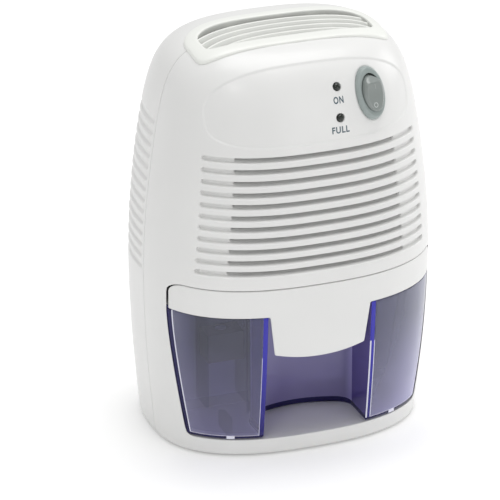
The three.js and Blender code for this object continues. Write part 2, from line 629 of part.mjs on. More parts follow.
const COLD = { front: -38, base: -19.4, back: -16, half: 30, fins: 11, pitch: 5.9 };
const MODULE = { front: -15.7, back: -11.9, half: 20 };
const HOT = { front: -11.6, base: -7.6, back: 14, half: 40, fins: 15, pitch: 5.5 };
const GASKET_HALF = 32;
const CLAMP_X = 26.5;

function makeCooler() {
  const lowZ = MODULE_Z - COLD.half;
  const highZ = MODULE_Z + COLD.half;
  const clampHoles = (radius) => [-CLAMP_X, CLAMP_X].map((x) => rodAlongY(x, MODULE_Z, radius, -40, -6, 10));
  const cold = join(
    block([-COLD.half, COLD.base, lowZ], [COLD.half, COLD.back, highZ]),
    ...fins(COLD.fins, COLD.pitch, 1, COLD.front, COLD.base + 0.2, lowZ, highZ),
  );
  part("cold_sink", cut(cold, ...clampHoles(1.8)), ALUMINIUM);
  const slab = (half, y0, y1) => block([-half, y0, MODULE_Z - half], [half, y1, MODULE_Z + half]);
  part("peltier_module", slab(MODULE.half, MODULE.front, MODULE.back), CERAMIC);
  const gasket = cut(
    slab(GASKET_HALF, MODULE.front, MODULE.back),
    slab(MODULE.half + 0.5, -20, 0),
    ...clampHoles(2),
  );
  part("foam_gasket", gasket, FOAM);
  const hot = join(
    block([-HOT.half, HOT.front, FAN_Z - HOT.half], [HOT.half, HOT.base, FAN_Z + HOT.half]),
    ...fins(HOT.fins, HOT.pitch, 1.2, HOT.base - 0.2, HOT.back, FAN_Z - HOT.half, FAN_Z + HOT.half),
  );
  part("hot_sink", cut(hot, ...clampHoles(1.8)), ALUMINIUM);
  [["left", -CLAMP_X], ["right", CLAMP_X]].forEach(([name, x]) => {
    const screw = placed(
      turned([[0, 0], [2.1, 0], [2.1, 1.8], [1.4, 1.8], [1.4, 12.6], [0, 13]], 12),
      new THREE.Matrix4().makeRotationX(-Math.PI / 2));
    part(`clamp_screw_${name}`, screw.translate([x, COLD.base - 1.8 - GAP, MODULE_Z]), METAL);
  });
}

const FAN = { front: 14.4, rear: 29.4, bore: 37.8, hub: 16, blades: 7, tip: 36.4 };
const FAN_HOLE = 35.75;

function makeFan() {
  const half = FAN_SIZE / 2;
  const corners = [[-1, 1], [1, 1], [-1, -1], [1, -1]].map(([a, b]) => [a * FAN_HOLE, FAN_Z + b * FAN_HOLE]);
  const arms = Array.from({ length: 4 }, (_, i) => {
    const arm = new THREE.BoxGeometry(28, 1.8, 5).translate(27, FAN.rear - 0.9, 0);
    return solid(arm.rotateY(Math.PI / 4 + (i * Math.PI) / 2).translate(0, 0, FAN_Z));
  });
  const ring = cut(
    block([-half, FAN.front, FAN_Z - half], [half, FAN.rear, FAN_Z + half]),
    rodAlongY(0, FAN_Z, FAN.bore, 0, 40, 28),
  );
  const frame = cut(
    join(ring, rodAlongY(0, FAN_Z, FAN.hub, FAN.rear - 1.8, FAN.rear, 24), ...arms),
    ...corners.map(([x, z]) => rodAlongY(x, z, 2.1, 0, 40, 10)),
    rodAlongY(0, FAN_Z, 1.8, 0, 40, 12),
  );
  part("fan_frame", frame, DARK);

  const blades = Array.from({ length: FAN.blades }, (_, i) => {
    const reachOut = FAN.tip - FAN.hub + 2;
    const blade = new THREE.BoxGeometry(reachOut, 1.4, 13).rotateX(THREE.MathUtils.degToRad(50));
    blade.translate(FAN.hub - 2 + reachOut / 2, 0, 0).rotateY((i * 2 * Math.PI) / FAN.blades);
    return solid(blade.translate(0, 21, FAN_Z));
  });
  const rotor = join(
    rodAlongY(0, FAN_Z, FAN.hub - 0.5, FAN.front + 1, FAN.rear - 2.4, 24),
    rodAlongY(0, FAN_Z, 1.5, FAN.rear - 3, FAN.rear - 0.2, 12),
    ...blades,
  );
  part("fan_rotor", rotor, DARK);
  corners.forEach(([x, z], i) => screwAlongY(`fan_screw_${i + 1}`, x, FAN.rear + 2 + GAP, z, 24, 3, 1.4));
}

function makeElectronics() {
  const { front, rear, low, high, half } = BOARD_PLATE;
  const sits = rear - 0.4; // components start just inside the board so that they are one piece with it
  const board = cut(
    join(
      block([-half, front, low], [half, rear, high]),
      rodAlongY(-12, 66, 6, sits, rear + 15, 16),
      rodAlongY(4, 66, 6, sits, rear + 15, 16),
      block([12, sits, 36], [30, rear + 13, 54]),
      block([-14, sits, 34], [4, rear + 3, 44]),
      block([-34, sits, 38], [-24, rear + 8, 46]),
      block([24, sits, 64], [33, rear + 8, 72]),
      block([14, sits, 74], [22, rear + 8, 82]),
    ),
    ...BOARD_POSTS.map(([x, z]) => rodAlongY(x, z, 1.5, 10, 40, 10)),
  );
  part("control_board", board, BOARD);
  BOARD_POSTS.forEach(([x, z], i) => screwAlongY(`board_screw_${i + 1}`, x, rear + 2 + GAP, z, 8, 2.4, 1.1));

  const outer = rearFace(JACK.x, JACK.z) - 0.6;
  const jack = cut(
    join(
      rodAlongY(JACK.x, JACK.z, JACK.nose, outer - 6, outer, 20),
      block([JACK.x - 6.5, outer - 16, JACK.z - 6], [JACK.x + 6.5, outer - 4.2, JACK.z + 6]),
    ),
    cut(rodAlongY(JACK.x, JACK.z, JACK.bore, outer - 11, outer + 5, 20),
      rodAlongY(JACK.x, JACK.z, JACK.pin, outer - 12, outer - 1, 10)),
  );
  part("dc_jack", jack, DARK);

  const lead = (name, points, radius = 1.3) => {
    const path = new THREE.CatmullRomCurve3(points.map((point) => new THREE.Vector3(...point)));
    const section = new THREE.Shape().absarc(0, 0, radius, 0, 2 * Math.PI);
    const options = { steps: 12, extrudePath: path, bevelEnabled: false, curveSegments: 3 };
    part(name, solid(new THREE.ExtrudeGeometry(section, options)), LEAD);
  };
  lead("power_lead", [
    [JACK.x, outer - 16.4, JACK.z + 1], [JACK.x, 38, 26], [-29.5, 34, 34], [-29, rear + 9.2, 42],
  ]);
  lead("fan_lead", [[28, 22, 104.6], [28, 24, 98], [28.4, 30, 88], [28.5, 36, 76], [28.5, rear + 9.2, 68]]);
  const back = new THREE.Vector3(0, -4, -BEZEL.bodyDepth - 1.5).applyMatrix4(switchSeat);
  lead("switch_lead", [
    back.toArray(), [36, -30, 180], [44.5, -10, 170], [44.5, 14, 150], [44.5, 32, 118], [34, 40, 92],
    [19, 38, 82], [18, rear + 9.2, 78],
  ]);
}

makeHousings();
makeBase();
makeHousingScrews();
makeGrille();
makeTank();
makeControls();
makeChassis();
makeCooler();
makeFan();
makeElectronics();

export default dehumidifier;
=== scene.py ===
"""A small thermoelectric dehumidifier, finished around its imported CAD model.

Sizes are millimetres in the CAD's own frame: +Z up, the front faces -Y, the ground is z = 0.
"""
import json
import math

import bmesh
import bpy
import numpy as np
from mathutils import Matrix, Vector


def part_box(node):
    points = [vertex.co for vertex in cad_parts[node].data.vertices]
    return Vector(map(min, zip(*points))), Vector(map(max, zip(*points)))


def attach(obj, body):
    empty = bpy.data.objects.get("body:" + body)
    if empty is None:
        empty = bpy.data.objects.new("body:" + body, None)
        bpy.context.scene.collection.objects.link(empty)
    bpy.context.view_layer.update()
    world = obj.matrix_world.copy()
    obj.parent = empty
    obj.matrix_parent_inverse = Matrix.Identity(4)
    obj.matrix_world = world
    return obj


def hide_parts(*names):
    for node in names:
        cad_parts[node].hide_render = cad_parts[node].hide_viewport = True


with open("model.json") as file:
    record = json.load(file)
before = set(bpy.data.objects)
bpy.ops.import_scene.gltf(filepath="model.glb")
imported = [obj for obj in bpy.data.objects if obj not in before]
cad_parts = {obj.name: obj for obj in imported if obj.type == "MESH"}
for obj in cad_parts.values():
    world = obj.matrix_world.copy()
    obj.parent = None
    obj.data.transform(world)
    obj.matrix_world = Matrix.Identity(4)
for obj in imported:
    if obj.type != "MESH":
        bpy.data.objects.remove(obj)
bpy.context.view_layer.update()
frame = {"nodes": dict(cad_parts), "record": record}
MM = 0.001

# ---- driving dimensions, the same as the CAD's ----------------------------------------------
HEIGHT = 220.0
HALF_WIDTHS = (72.5, 77.1, 77.6, 71.7, 61.1)
FRONT_DEPTHS = (53.4, 60.2, 63.4, 62.2, 65.5)
REAR_DEPTH = 63.5
FRONT_ROUNDNESS = 2.53
REAR_ROUNDNESS = 2.68
SIDE_DOME = (158.6, 6.05, 4.86)  # where it starts, and the exponents of its rise and fall
FRONT_DOME = (137.5, 1.81, 4.47)
WALL = 2.5
GAP = 0.3
GROUND_GAP = 1.2
SEAM_Y = -6.0

SLOT_COUNT = 11
SLOT_TOP = 169.4
SLOT_PITCH = 6.087
SLOT_HEIGHT = 2.3
SLOT_HALF = (44.7, 50.1)  # half length of the open part, of the top slot and of the bottom one
GROOVE_HALF = (58.2, 63.6)  # half length of the groove round it
REAR_SLOT_COUNT = 14
REAR_SLOT_TOP = 176.4
REAR_SLOT_HALF = 45.0

BAY_TOP = 99.0
BAY_FLOOR = 10.2
BAY_SPLIT = 83.0
BAY_HALF = 73.4
BAY_NARROWING = 8.9
BAY_CORNER = 6.0
BAY_BACK = 5.6
TANK_WALL = 2.2
TANK_FLOOR = 10.6
TANK_TOP = 82.8
TANK_INSET = 0.4
RECESS_HALF = 28.5
RECESS_DEPTH = -21.0
RECESS_BOW = 4.5
RECESS_CORNER = 6.0
TONGUE_HALF = 28.0
TONGUE_TIP_HALF = 25.0
TONGUE_CORNER = 60.7
TONGUE_TIP = 57.2
DRIP = (0.0, -9.0, 7.0)  # x, y and radius of the lid's hole for the drips
DRAIN = (-58.0, -8.0, 6.0)  # and of its plug
BEHIND_BODY = 0.1  # from the body's surface back to the cover, and to the tank's panes

GRILLE_FRAME = (53.0, -27.5, 17.0)  # half width, front and rear
GRILLE_OPENING = (46.0, -19.5, 11.0)
GRILLE_MIDDLE = -9.0
GRILLE_FRONT_ROUNDNESS = 6.0
GRILLE_REAR_ROUNDNESS = 2.9
GRILLE_RISE = 1.3
GRILLE_LIP = 2.6
RIB_COUNT, RIB_LAST, RIB_PITCH, RIB_BOW = 4, 6.5, 6.5, 9.0
TIE_X = 22.0

SWITCH_X, SWITCH_Z = 31.0, 195.6
SWITCH_TILT, SWITCH_TURN = math.radians(22), math.radians(15)
BEZEL_HALF_WIDTH, BEZEL_HALF_LENGTH = 8.2, 13.5
ROCKER_HALF_WIDTH, ROCKER_HALF_LENGTH = 5.9, 9.8
ROCKER_REST = math.radians(9)
BEZEL_CREST = 1.2
ROCKER_RISE = 6.3
FACE_HALF_LENGTH = 9.15
ON_SLOPE_START, OFF_SLOPE_START = 5.9, 8.3
ON_SLOPE, OFF_SLOPE = 1.4, 0.5
PIVOT_DEPTH = -2.4
LED_X, LED_ON_Z, LED_FULL_Z, LED_RADIUS = 12.2, 201.6, 186.4, 2.0
PANEL_DEPTH = 0.5
PANEL_HALF, PANEL_ROUNDNESS = (55.5, 20.7), 2.8
PANEL_FOOT, PANEL_LEAN = (-58.5, 175.3), math.radians(23.5)  # y and z of the plane's foot, and its lean
PANEL_MIDDLE = 20.6  # up the plane from its foot
FLANGE, SEAT_DEPTH = 0.4, 0.4  # how far the bezel overlaps the panel, and how deep it sits in it

SCREW_POSTS = ((-49.0, 188.0), (49.0, 188.0), (-57.0, 108.0), (57.0, 108.0))  # x and z
SCREW_BORE, SCREW_DEPTH = 1.8, 14.0
POST_RADIUS, BOSS_RADIUS = 4.0, 5.2
WELL_FLOOR_Y = 12.0
WELL_RADIUS = 3.9
BASE_SCREWS = ((-52.0, 20.0), (52.0, 20.0))  # x and y
JACK_X, JACK_Z, JACK_HOLE = -30.0, 24.0, 5.5


# ---- the rounded body -----------------------------------------------------------------------
def along_height(values, z):
    """A smooth curve through values spread evenly over the height."""
    values = np.asarray(values)
    last = len(values) - 1
    slopes = np.empty(last + 1)
    slopes[1:last] = (values[2:] - values[:-2]) / 2
    slopes[0] = 1.5 * (values[1] - values[0]) - (values[2] - values[0]) / 4
    slopes[last] = 1.5 * (values[last] - values[last - 1]) - (values[last] - values[last - 2]) / 4
    place = np.clip(z / HEIGHT * last, 0, last)
    step = np.minimum(place.astype(int), last - 1)
    t = place - step
    rise = values[step + 1] - values[step]
    curve = (slopes[step] - rise) * (1 - t) - (slopes[step + 1] - rise) * t
    return values[step] + rise * t + t * (1 - t) * curve


def dome(curve, z):
    """How much of the full outline is left at a height."""
    start, rise, fall = curve
    t = np.clip((z - start) / (HEIGHT - start), 0, 1)
    return (1 - t**rise) ** (1 / fall)


def reach(z, offset=0.0):
    """Half width, front depth and rear depth at a height, on the surface offset from the body."""
    height = np.clip(np.asarray(z, float) * HEIGHT / (HEIGHT + offset), 0, HEIGHT)
    across = dome(SIDE_DOME, height)
    deep = dome(FRONT_DOME, height)
    half = (along_height(HALF_WIDTHS, height) + offset) * across
    front = (along_height(FRONT_DEPTHS, height) + offset) * deep
    rear = (REAR_DEPTH + offset) * deep
    return np.maximum(half, 1e-6), np.maximum(front, 1e-6), np.maximum(rear, 1e-6)


def front_face(x, z, offset=0.0):
    half, front, _ = reach(z, offset)
    inner = np.clip(1 - (np.abs(x) / half) ** FRONT_ROUNDNESS, 0, 1)
    return -front * inner ** (1 / FRONT_ROUNDNESS)


def rear_face(x, z):
    half, _, rear = reach(z)
    inner = np.clip(1 - (np.abs(x) / half) ** REAR_ROUNDNESS, 0, 1)
    return rear * inner ** (1 / REAR_ROUNDNESS)


def body_measure(x, y, z, offset=0.0):
    """Below 0 inside the body and above 0 outside it."""
    half, front, rear = reach(z, offset)
    ahead = y < 0
    power = np.where(ahead, FRONT_ROUNDNESS, REAR_ROUNDNESS)
    deep = np.where(ahead, front, rear)
    return (np.abs(x) / half) ** power + (np.abs(y) / deep) ** power - 1


def body_normal(points):
    steps = np.eye(3) * 0.05
    slope = np.stack([
        body_measure(*(points + step).T) - body_measure(*(points - step).T) for step in steps], axis=1)
    return slope / np.linalg.norm(slope, axis=1)[:, None]


def bisect(beyond, low, high, steps):
    """Closes in on the places between low and high where beyond turns true."""
    for _ in range(steps):
        middle = (low + high) / 2
        over = beyond(middle)
        high = np.where(over, middle, high)
        low = np.where(over, low, middle)
    return low, high


def top_height(x, y, offset=0.0):
    """Height of the top surface over a place in plan."""
    low, high = np.full(np.shape(x), 150.0), np.full(np.shape(x), HEIGHT + offset)
    return sum(bisect(lambda z: body_measure(x, y, z, offset) > 0, low, high, 32)) / 2


def outline(angle, z, offset=0.0):
    """A point of the plan outline: angle 0 is the right side, a quarter turn is the front."""
    half, front, rear = reach(z, offset)
    ahead = np.sin(angle) > 0
    power = 2 / np.where(ahead, FRONT_ROUNDNESS, REAR_ROUNDNESS)
    x = np.sign(np.cos(angle)) * np.abs(np.cos(angle)) ** power * half
    y = np.where(ahead, -front, rear) * np.abs(np.sin(angle)) ** power
    return x, y


def arch(edges, inset, behind):
    """The half width, depth and roundness of the grille's frame or opening, which is squarer in front."""
    half, front, rear = edges
    deep = np.where(behind, rear - GRILLE_MIDDLE, GRILLE_MIDDLE - front) - inset
    return half - inset, deep, np.where(behind, GRILLE_REAR_ROUNDNESS, GRILLE_FRONT_ROUNDNESS)


def arch_measure(x, y, edges, inset):
    """Below 0 inside the grille's frame or opening."""
    half, deep, power = arch(edges, inset, y > GRILLE_MIDDLE)
    return (np.abs(x) / half) ** power + (np.abs(y - GRILLE_MIDDLE) / deep) ** power - 1


def arch_outline(edges, inset=0.0):
    """Plan outline of the grille's frame or opening, anticlockwise from above."""
    count = 144
    turn = np.arange(count) * 2 * math.pi / count
    half, deep, power = arch(edges, inset, np.arange(count) < count / 2)
    x = np.sign(np.cos(turn)) * np.abs(np.cos(turn)) ** (2 / power) * half
    return x, GRILLE_MIDDLE + np.sign(np.sin(turn)) * np.abs(np.sin(turn)) ** (2 / power) * deep


def bay_half(z):
    """Half width of the tank's opening at a height."""
    drop = np.maximum(BAY_SPLIT - z, 0) / (BAY_SPLIT - BAY_FLOOR)
    return BAY_HALF - BAY_NARROWING * drop**1.45


SHOULDER = 196.0  # above it the rows close in plan towards the grille
CAP_SPAN = 40.0  # how far above the shoulder the row at the grille counts


class Skin:
    """The front or the rear half of the body as a map from a place across and up to a point."""

    def __init__(self, front):
        self.front = front
        self.seam = SEAM_Y - GAP / 2 if front else SEAM_Y + GAP / 2

    def angle(self, across, z, offset):
        _, deep, _ = reach(z, offset)
        start = np.arcsin(np.clip(-self.seam / deep, 0, 1) ** (FRONT_ROUNDNESS / 2))
        if self.front:
            return start + across * (math.pi - 2 * start)
        return start - across * (math.pi + 2 * start)

    def point(self, across, up, offset=0.0):
        z = np.minimum(up, SHOULDER)
        x, y = outline(self.angle(across, z, offset), z, offset)
        z = z.astype(float).copy()
        cap = up > SHOULDER
        if cap.any():
            def outside(share):
                deep = self.seam + (y[cap] - self.seam) * share
                return arch_measure(x[cap] * share, deep, GRILLE_FRAME, GRILLE_LIP) > 0

            at_grille, _ = bisect(outside, np.zeros(cap.sum()), np.ones(cap.sum()), 30)
            share = 1 + (at_grille - 1) * (up[cap] - SHOULDER) / CAP_SPAN
            x[cap] = x[cap] * share
            y[cap] = self.seam + (y[cap] - self.seam) * share
            z[cap] = top_height(x[cap], y[cap], offset)
        return np.stack([x, y, z], axis=1)


# ---- fields: distances to the edges of features ---------------------------------------------
FAR = 50.0  # a field's value where its feature can't be
LIP_BELOW = 0.5  # from a slot's lower edge to the crest of its lip


def capsule(along, up, half, radius):
    """Distance to a lying round-ended slot."""
    return np.hypot(np.maximum(np.abs(along) - (half - radius), 0), up) - radius


def over_front_slots(halves, measure):
    """A field over the front slots, from a measure of the places across and up from a slot's middle."""
    def field(points):
        x, y, z = points.T
        best = np.full(len(x), FAR)
        for k in range(SLOT_COUNT):
            half = np.interp(k, (0, SLOT_COUNT - 1), halves)
            best = np.minimum(best, measure(x, z - SLOT_TOP + SLOT_PITCH * k, half))
        return np.where(y < 0, best, FAR)
    return field


def louvre_field(halves, radius, lip=0.0):
    """Distance to the slots, measured shorter below them so that the lower edge is rounder."""
    def measure(x, up, half):
        distance = capsule(x, up, half, radius)
        below = np.clip(-up / radius, 0, 1)
        return np.where(distance > 0, distance * (1 - lip * below), distance)
    return over_front_slots(halves, measure)


def lip_field(radius):
    """Distance to the crests of the lips below the slots."""
    def measure(x, up, half):
        return capsule(x, up + radius + LIP_BELOW, half - radius, 0.0)
    return over_front_slots(GROOVE_HALF, measure)


def nearest_rear_row(z):
    """Height above the nearest groove's middle in the rear shell."""
    k = np.clip(np.round((REAR_SLOT_TOP - z) / SLOT_PITCH), 0, REAR_SLOT_COUNT - 1)
    return z - (REAR_SLOT_TOP - SLOT_PITCH * k)


def side_groove_field(points):
    y, z = points[:, 1], points[:, 2]
    start = SEAM_Y + 3.0
    radius = 1.5
    return np.hypot(np.minimum(y - start - radius, 0), nearest_rear_row(z)) - radius


def rear_slot_field(points):
    x, y, z = points.T
    return np.where(y > 0, capsule(x, nearest_rear_row(z), REAR_SLOT_HALF, SLOT_HEIGHT / 2), FAR)


def panel_field(points):
    """The control panel: a rounded oval on a leaning plane."""
    x, y, z = points.T
    half_width, half_height = PANEL_HALF
    foot_y, foot_z = PANEL_FOOT

    def measure(across, along):
        power = PANEL_ROUNDNESS
        total = (np.abs(across) / half_width) ** power + (np.abs(along) / half_height) ** power
        return total ** (1 / power) - 1

    up = (y - foot_y) * math.sin(PANEL_LEAN) + (z - foot_z) * math.cos(PANEL_LEAN)
    along = up - PANEL_MIDDLE
    step = 0.05
    slope = np.hypot(
        measure(x + step, along) - measure(x - step, along),
        measure(x, along + step) - measure(x, along - step)) / (2 * step)
    distance = measure(x, along) / np.maximum(slope, 1e-4)
    return np.where((y < 0) & (z > 160), distance, FAR)


def rounded(across, along, corner):
    """Distance to the area inside two edges, given the distance to each, with round corners."""
    inner = np.minimum(np.maximum(across, along) + corner, 0)
    return inner + np.hypot(np.maximum(across + corner, 0), np.maximum(along + corner, 0)) - corner


def bay_field(points):
    """The tank's opening, with round corners."""
    x, y, z = points.T
    side = (np.abs(x) - bay_half(z)) * 0.985
    level = np.maximum(z - BAY_TOP, BAY_FLOOR - z)
    return np.where(y < -8, rounded(side, level, np.where(z > 50, BAY_CORNER, 3.0)), FAR)


def rear_hole_field(x0, z0, radius):
    def field(points):
        x, y, z = points.T
        return np.where(y > 0, np.hypot(x - x0, z - z0) - radius, FAR)
    return field


class Seat:
    """A seat on the front face: its third axis points out of the face."""

    def __init__(self, x, z, tilt, turn):
        out = Vector((math.sin(turn) * math.cos(tilt), -math.cos(turn) * math.cos(tilt), math.sin(tilt)))
        right = Vector((math.cos(turn), math.sin(turn), 0))
        self.axes = np.array([right, out.cross(right), out])
        self.origin = np.array([x, float(front_face(x, z)), z])

    def local(self, points):
        return (points - self.origin) @ self.axes.T

    def world(self, points):
        return np.asarray(points) @ self.axes + self.origin


def slope_at(x, z):
    step = 0.5
    across = (front_face(x + step, z) - front_face(x - step, z)) / (2 * step)
    up = (front_face(x, z + step) - front_face(x, z - step)) / (2 * step)
    return math.asin(float(up / math.hypot(across, 1, up))), math.atan2(float(across), 1)


SWITCH_SEAT = Seat(SWITCH_X, SWITCH_Z, SWITCH_TILT, SWITCH_TURN)
LED_SEATS = {z: Seat(LED_X, z, *slope_at(LED_X, z)) for z in (LED_ON_Z, LED_FULL_Z)}


def ellipse_field(seat, half_width, half_length):
    def field(points):
        u, v, out = seat.local(points).T
        ring = np.maximum(np.hypot(u / half_width, v / half_length), 1e-6)
        slope = np.maximum(np.hypot(u / half_width**2, v / half_length**2), 1e-9)
        return np.where(np.abs(out) < 12, ring * (ring - 1) / slope, FAR)
    return field


# ---- cutting a grid along curves ------------------------------------------------------------
SNAP = 0.14  # a vertex moves onto a line that is nearer than this share of its edge


class Patch:
    """A grid over a skin. A vertex holds its place across, its place up and how far it is pressed in."""

    def __init__(self, skin, columns, rows):
        self.skin = skin
        self.bm = bmesh.new()
        self.push = self.bm.verts.layers.float.new("push")
        self.fixed = {}
        grid = [[self.bm.verts.new((across, up, 0)) for across in columns] for up in rows]
        for low, high in zip(grid, grid[1:]):
            for i in range(len(columns) - 1):
                self.bm.faces.new((low[i], low[i + 1], high[i + 1], high[i]))

    def values(self, field, places):
        return field(self.skin.point(places[:, 0], places[:, 1]))

    def cut(self, field, level, value, near):
        """Puts a line of edges where the field has this level."""
        crossing = [
            edge for edge in near
            if (value[edge.verts[0].index] - level) * (value[edge.verts[1].index] - level) < 0]
        if not crossing:
            return
        start = np.array([edge.verts[0].co.xy for edge in crossing], float)
        run = np.array([edge.verts[1].co.xy for edge in crossing], float) - start
        sign = np.sign([value[edge.verts[0].index] - level for edge in crossing])

        def past(share):
            return np.sign(self.values(field, start + run * share[:, None]) - level) != sign

        share = sum(bisect(past, np.zeros(len(crossing)), np.ones(len(crossing)), 9)) / 2
        on = {}  # an ordered set, so that each run makes its faces in the same order
        for edge, part in zip(crossing, share):
            first, second = edge.verts
            if part > 0.5:
                first, second, part = second, first, 1 - part
            if part < SNAP and first not in on and second not in on:
                if not first.is_boundary and first not in self.fixed:
                    first.co = first.co + (second.co - first.co) * part
                    on[first] = True
        for edge, part in zip(crossing, share):
            if edge.verts[0] not in on and edge.verts[1] not in on:
                made_edge, vert = bmesh.utils.edge_split(edge, edge.verts[0], part)
                vert.index = len(value)
                value.append(level)
                near.append(made_edge)
                on[vert] = True
        for vert in on:
            value[vert.index] = level
        for face in dict.fromkeys(face for vert in on for face in vert.link_faces):
            self.divide(face, on, value, level, near)
        self.fixed.update(on)

    def divide(self, face, on, value, level, near):
        """Splits a face between the vertices that lie on the line."""
        waiting = [face]
        while waiting:
            face = waiting.pop()
            verts = list(face.verts)
            state = [0 if vert in on else (1 if value[vert.index] > level else -1) for vert in verts]
            if -1 not in state or 1 not in state:
                continue
            count = len(verts)
            for i in range(count):
                if state[i] != 0 or state[(i + 1) % count] != -1:
                    continue
                j = (i + 1) % count
                while state[j] == -1:
                    j = (j + 1) % count
                if state[j] == 0 and j != i:
                    made = bmesh.utils.face_split(face, verts[i], verts[j])
                    near.append(made[1].edge)
                    waiting += [face, made[0]]
                break

    def carve(self, field, profile, hole=False, along_y=False):
        """Presses the surface in by a profile of field value and depth, and opens it below the first."""
        levels, depths = np.array(profile).T
        self.bm.verts.index_update()
        places = np.array([vert.co.xy for vert in self.bm.verts], float)
        value = self.values(field, places).tolist()
        low, high = levels[0], levels[-1]
        near = []
        for edge in self.bm.edges:
            first, second = value[edge.verts[0].index], value[edge.verts[1].index]
            if min(first, second) < high and max(first, second) > low:
                near.append(edge)
        for level in levels:
            self.cut(field, level, value, near)
        for vert in self.bm.verts:
            reading = value[vert.index]
            if reading >= high:
                continue
            extra = float(np.interp(reading, levels, depths))
            if along_y:
                vert[self.push] += extra
            else:
                vert.co.z += extra
        if hole:
            gone = [
                face for face in self.bm.faces
                if sum(value[vert.index] for vert in face.verts) / len(face.verts) < low]
            bmesh.ops.delete(self.bm, geom=gone, context="FACES")

    def shell(self, shape, wall, inner=None):
        """Adds the patch to a shape as a closed shell with this wall."""
        self.bm.verts.index_update()
        places = np.array([vert.co for vert in self.bm.verts], float)
        outer = self.skin.point(places[:, 0], places[:, 1])
        outer = outer - body_normal(outer) * places[:, 2:3]
        outer[:, 1] += [vert[self.push] for vert in self.bm.verts]
        within = places[:, 0] if inner is None else inner(places[:, 0], places[:, 1])
        under = self.skin.point(within, places[:, 1], -wall)
        order = -1 if self.skin.front else 1
        faces = [[vert.index for vert in face.verts][::order] for face in self.bm.faces]
        close_shell(shape, outer, under, faces)
        self.bm.free()


def close_shell(shape, outer, under, faces):
    """Two matching sheets joined along their free edges into one closed body."""
    count = len(outer)
    used = {(a, b) for face in faces for a, b in zip(face, face[1:] + face[:1])}
    rim = [(a, b) for a, b in used if (b, a) not in used]
    back = [[count + i for i in reversed(face)] for face in faces]
    wall = [[b, a, a + count, b + count] for a, b in sorted(rim)]
    shape.add(np.concatenate([outer, under]), faces + back + wall)


def new_object(name, data):
    thing = bpy.data.objects.new(name, data)
    bpy.context.scene.collection.objects.link(thing)
    return thing


class Shape:
    """Points, faces and material numbers gathered into one mesh."""

    def __init__(self):
        self.points = []
        self.faces = []
        self.slots = []
        self.count = 0

    def add(self, points, faces, slot=0):
        self.points.append(np.asarray(points, float))
        self.faces += [[i + self.count for i in face] for face in faces]
        self.slots += list(slot) if hasattr(slot, "__len__") else [slot] * len(faces)
        self.count += len(points)
        return self

    def loft(self, rings, slot=0, closed=False):
        """Rings of equal length joined in order, each anticlockwise when seen from the last ring's side."""
        size = len(rings[0])
        faces = []
        total = len(rings) if closed else len(rings) - 1
        for k in range(total):
            a, b = k * size, (k + 1) % len(rings) * size
            faces += [[a + i, a + (i + 1) % size, b + (i + 1) % size, b + i] for i in range(size)]
        if not closed:
            faces += [list(range(size))[::-1], [(len(rings) - 1) * size + i for i in range(size)]]
        return self.add(np.concatenate(rings), faces, slot)

    def prism(self, plan, low, high, slot=0):
        """An upright solid over a plan outline that runs anticlockwise from above."""
        return self.loft([np.column_stack([plan, np.full(len(plan), z)]) for z in (low, high)], slot)

    def object(self, name, *looks, sharp=40):
        """Makes a smooth object, and drops the points that no face uses."""
        points = np.concatenate(self.points)
        mesh = bpy.data.meshes.new(name)
        mesh.from_pydata((points * MM).tolist(), [], self.faces)
        for look in looks:
            mesh.materials.append(LOOKS[look])
        mesh.polygons.foreach_set("material_index", self.slots)
        mesh.update()
        used = bmesh.new()
        used.from_mesh(mesh)
        loose = [vert for vert in used.verts if not vert.link_faces]
        bmesh.ops.delete(used, geom=loose, context="VERTS")
        used.to_mesh(mesh)
        used.free()
        mesh.shade_smooth()
        mesh.set_sharp_from_angle(angle=math.radians(sharp))
        thing = new_object(name, mesh)
        even = thing.modifiers.new("even shading", "WEIGHTED_NORMAL")
        even.keep_sharp = True
        return thing


def oval(half_width, half_length, count=96):
    turn = np.arange(count) * 2 * math.pi / count
    return np.stack([np.cos(turn) * half_width, np.sin(turn) * half_length], axis=1)


def circle(radius, sides):
    return oval(radius, radius, sides)


def turned(profile, sides, place):
    """Rings of a turned solid. The profile gives radius and height; place maps local points to the frame."""
    flat = circle(1.0, sides)
    return [
        place(np.column_stack([flat * max(radius, 0.01), np.full(sides, height)]))
        for radius, height in profile]


def along_y(x, z):
    """Local +Z runs along +Y from the plane y = 0."""
    def place(points):
        return np.stack([x + points[:, 0], points[:, 2], z - points[:, 1]], axis=1)
    return place


def upright(x, y):
    """Local +Z stays upright, over a place in plan."""
    return lambda points: points + (x, y, 0)


def spread(places, steps):
    """As many of the places, spread over them, as the steps between them add up to."""
    count = np.concatenate([[0], np.cumsum(steps)])
    return np.interp(np.linspace(0, count[-1], int(math.ceil(count[-1])) + 1), count, places)


def graded(step_at, start, stop):
    """Places from start to stop whose spacing follows step_at."""
    fine = np.linspace(start, stop, 4001)
    return spread(fine, np.diff(fine) / step_at((fine[1:] + fine[:-1]) / 2))


def graded_columns(skin, step_at, z=137.0):
    """Places across a skin whose spacing in millimetres, at height z, follows step_at(x, y)."""
    across = np.linspace(0, 1, 6001)
    points = skin.point(across, np.full(len(across), z))
    length = np.linalg.norm(np.diff(points, axis=0), axis=1)
    middle = (points[1:] + points[:-1]) / 2
    return spread(across, length / step_at(np.abs(middle[:, 0]), middle[:, 1]))


def rounding(radius):
    """A profile that turns an edge over with this radius."""
    turns = np.linspace(math.pi / 2, 0, 4)
    return [(radius * (1 - math.sin(turn)), radius * (1 - math.cos(turn))) for turn in turns]


# ---- materials ------------------------------------------------------------------------------
LOOKS = {}  # every material by its name. The CAD's material slots are among the names.


def new_material(name):
    material = bpy.data.materials.new(name)
    material.use_nodes = True
    LOOKS[name] = material
    return material.node_tree, material.node_tree.nodes["Principled BSDF"]


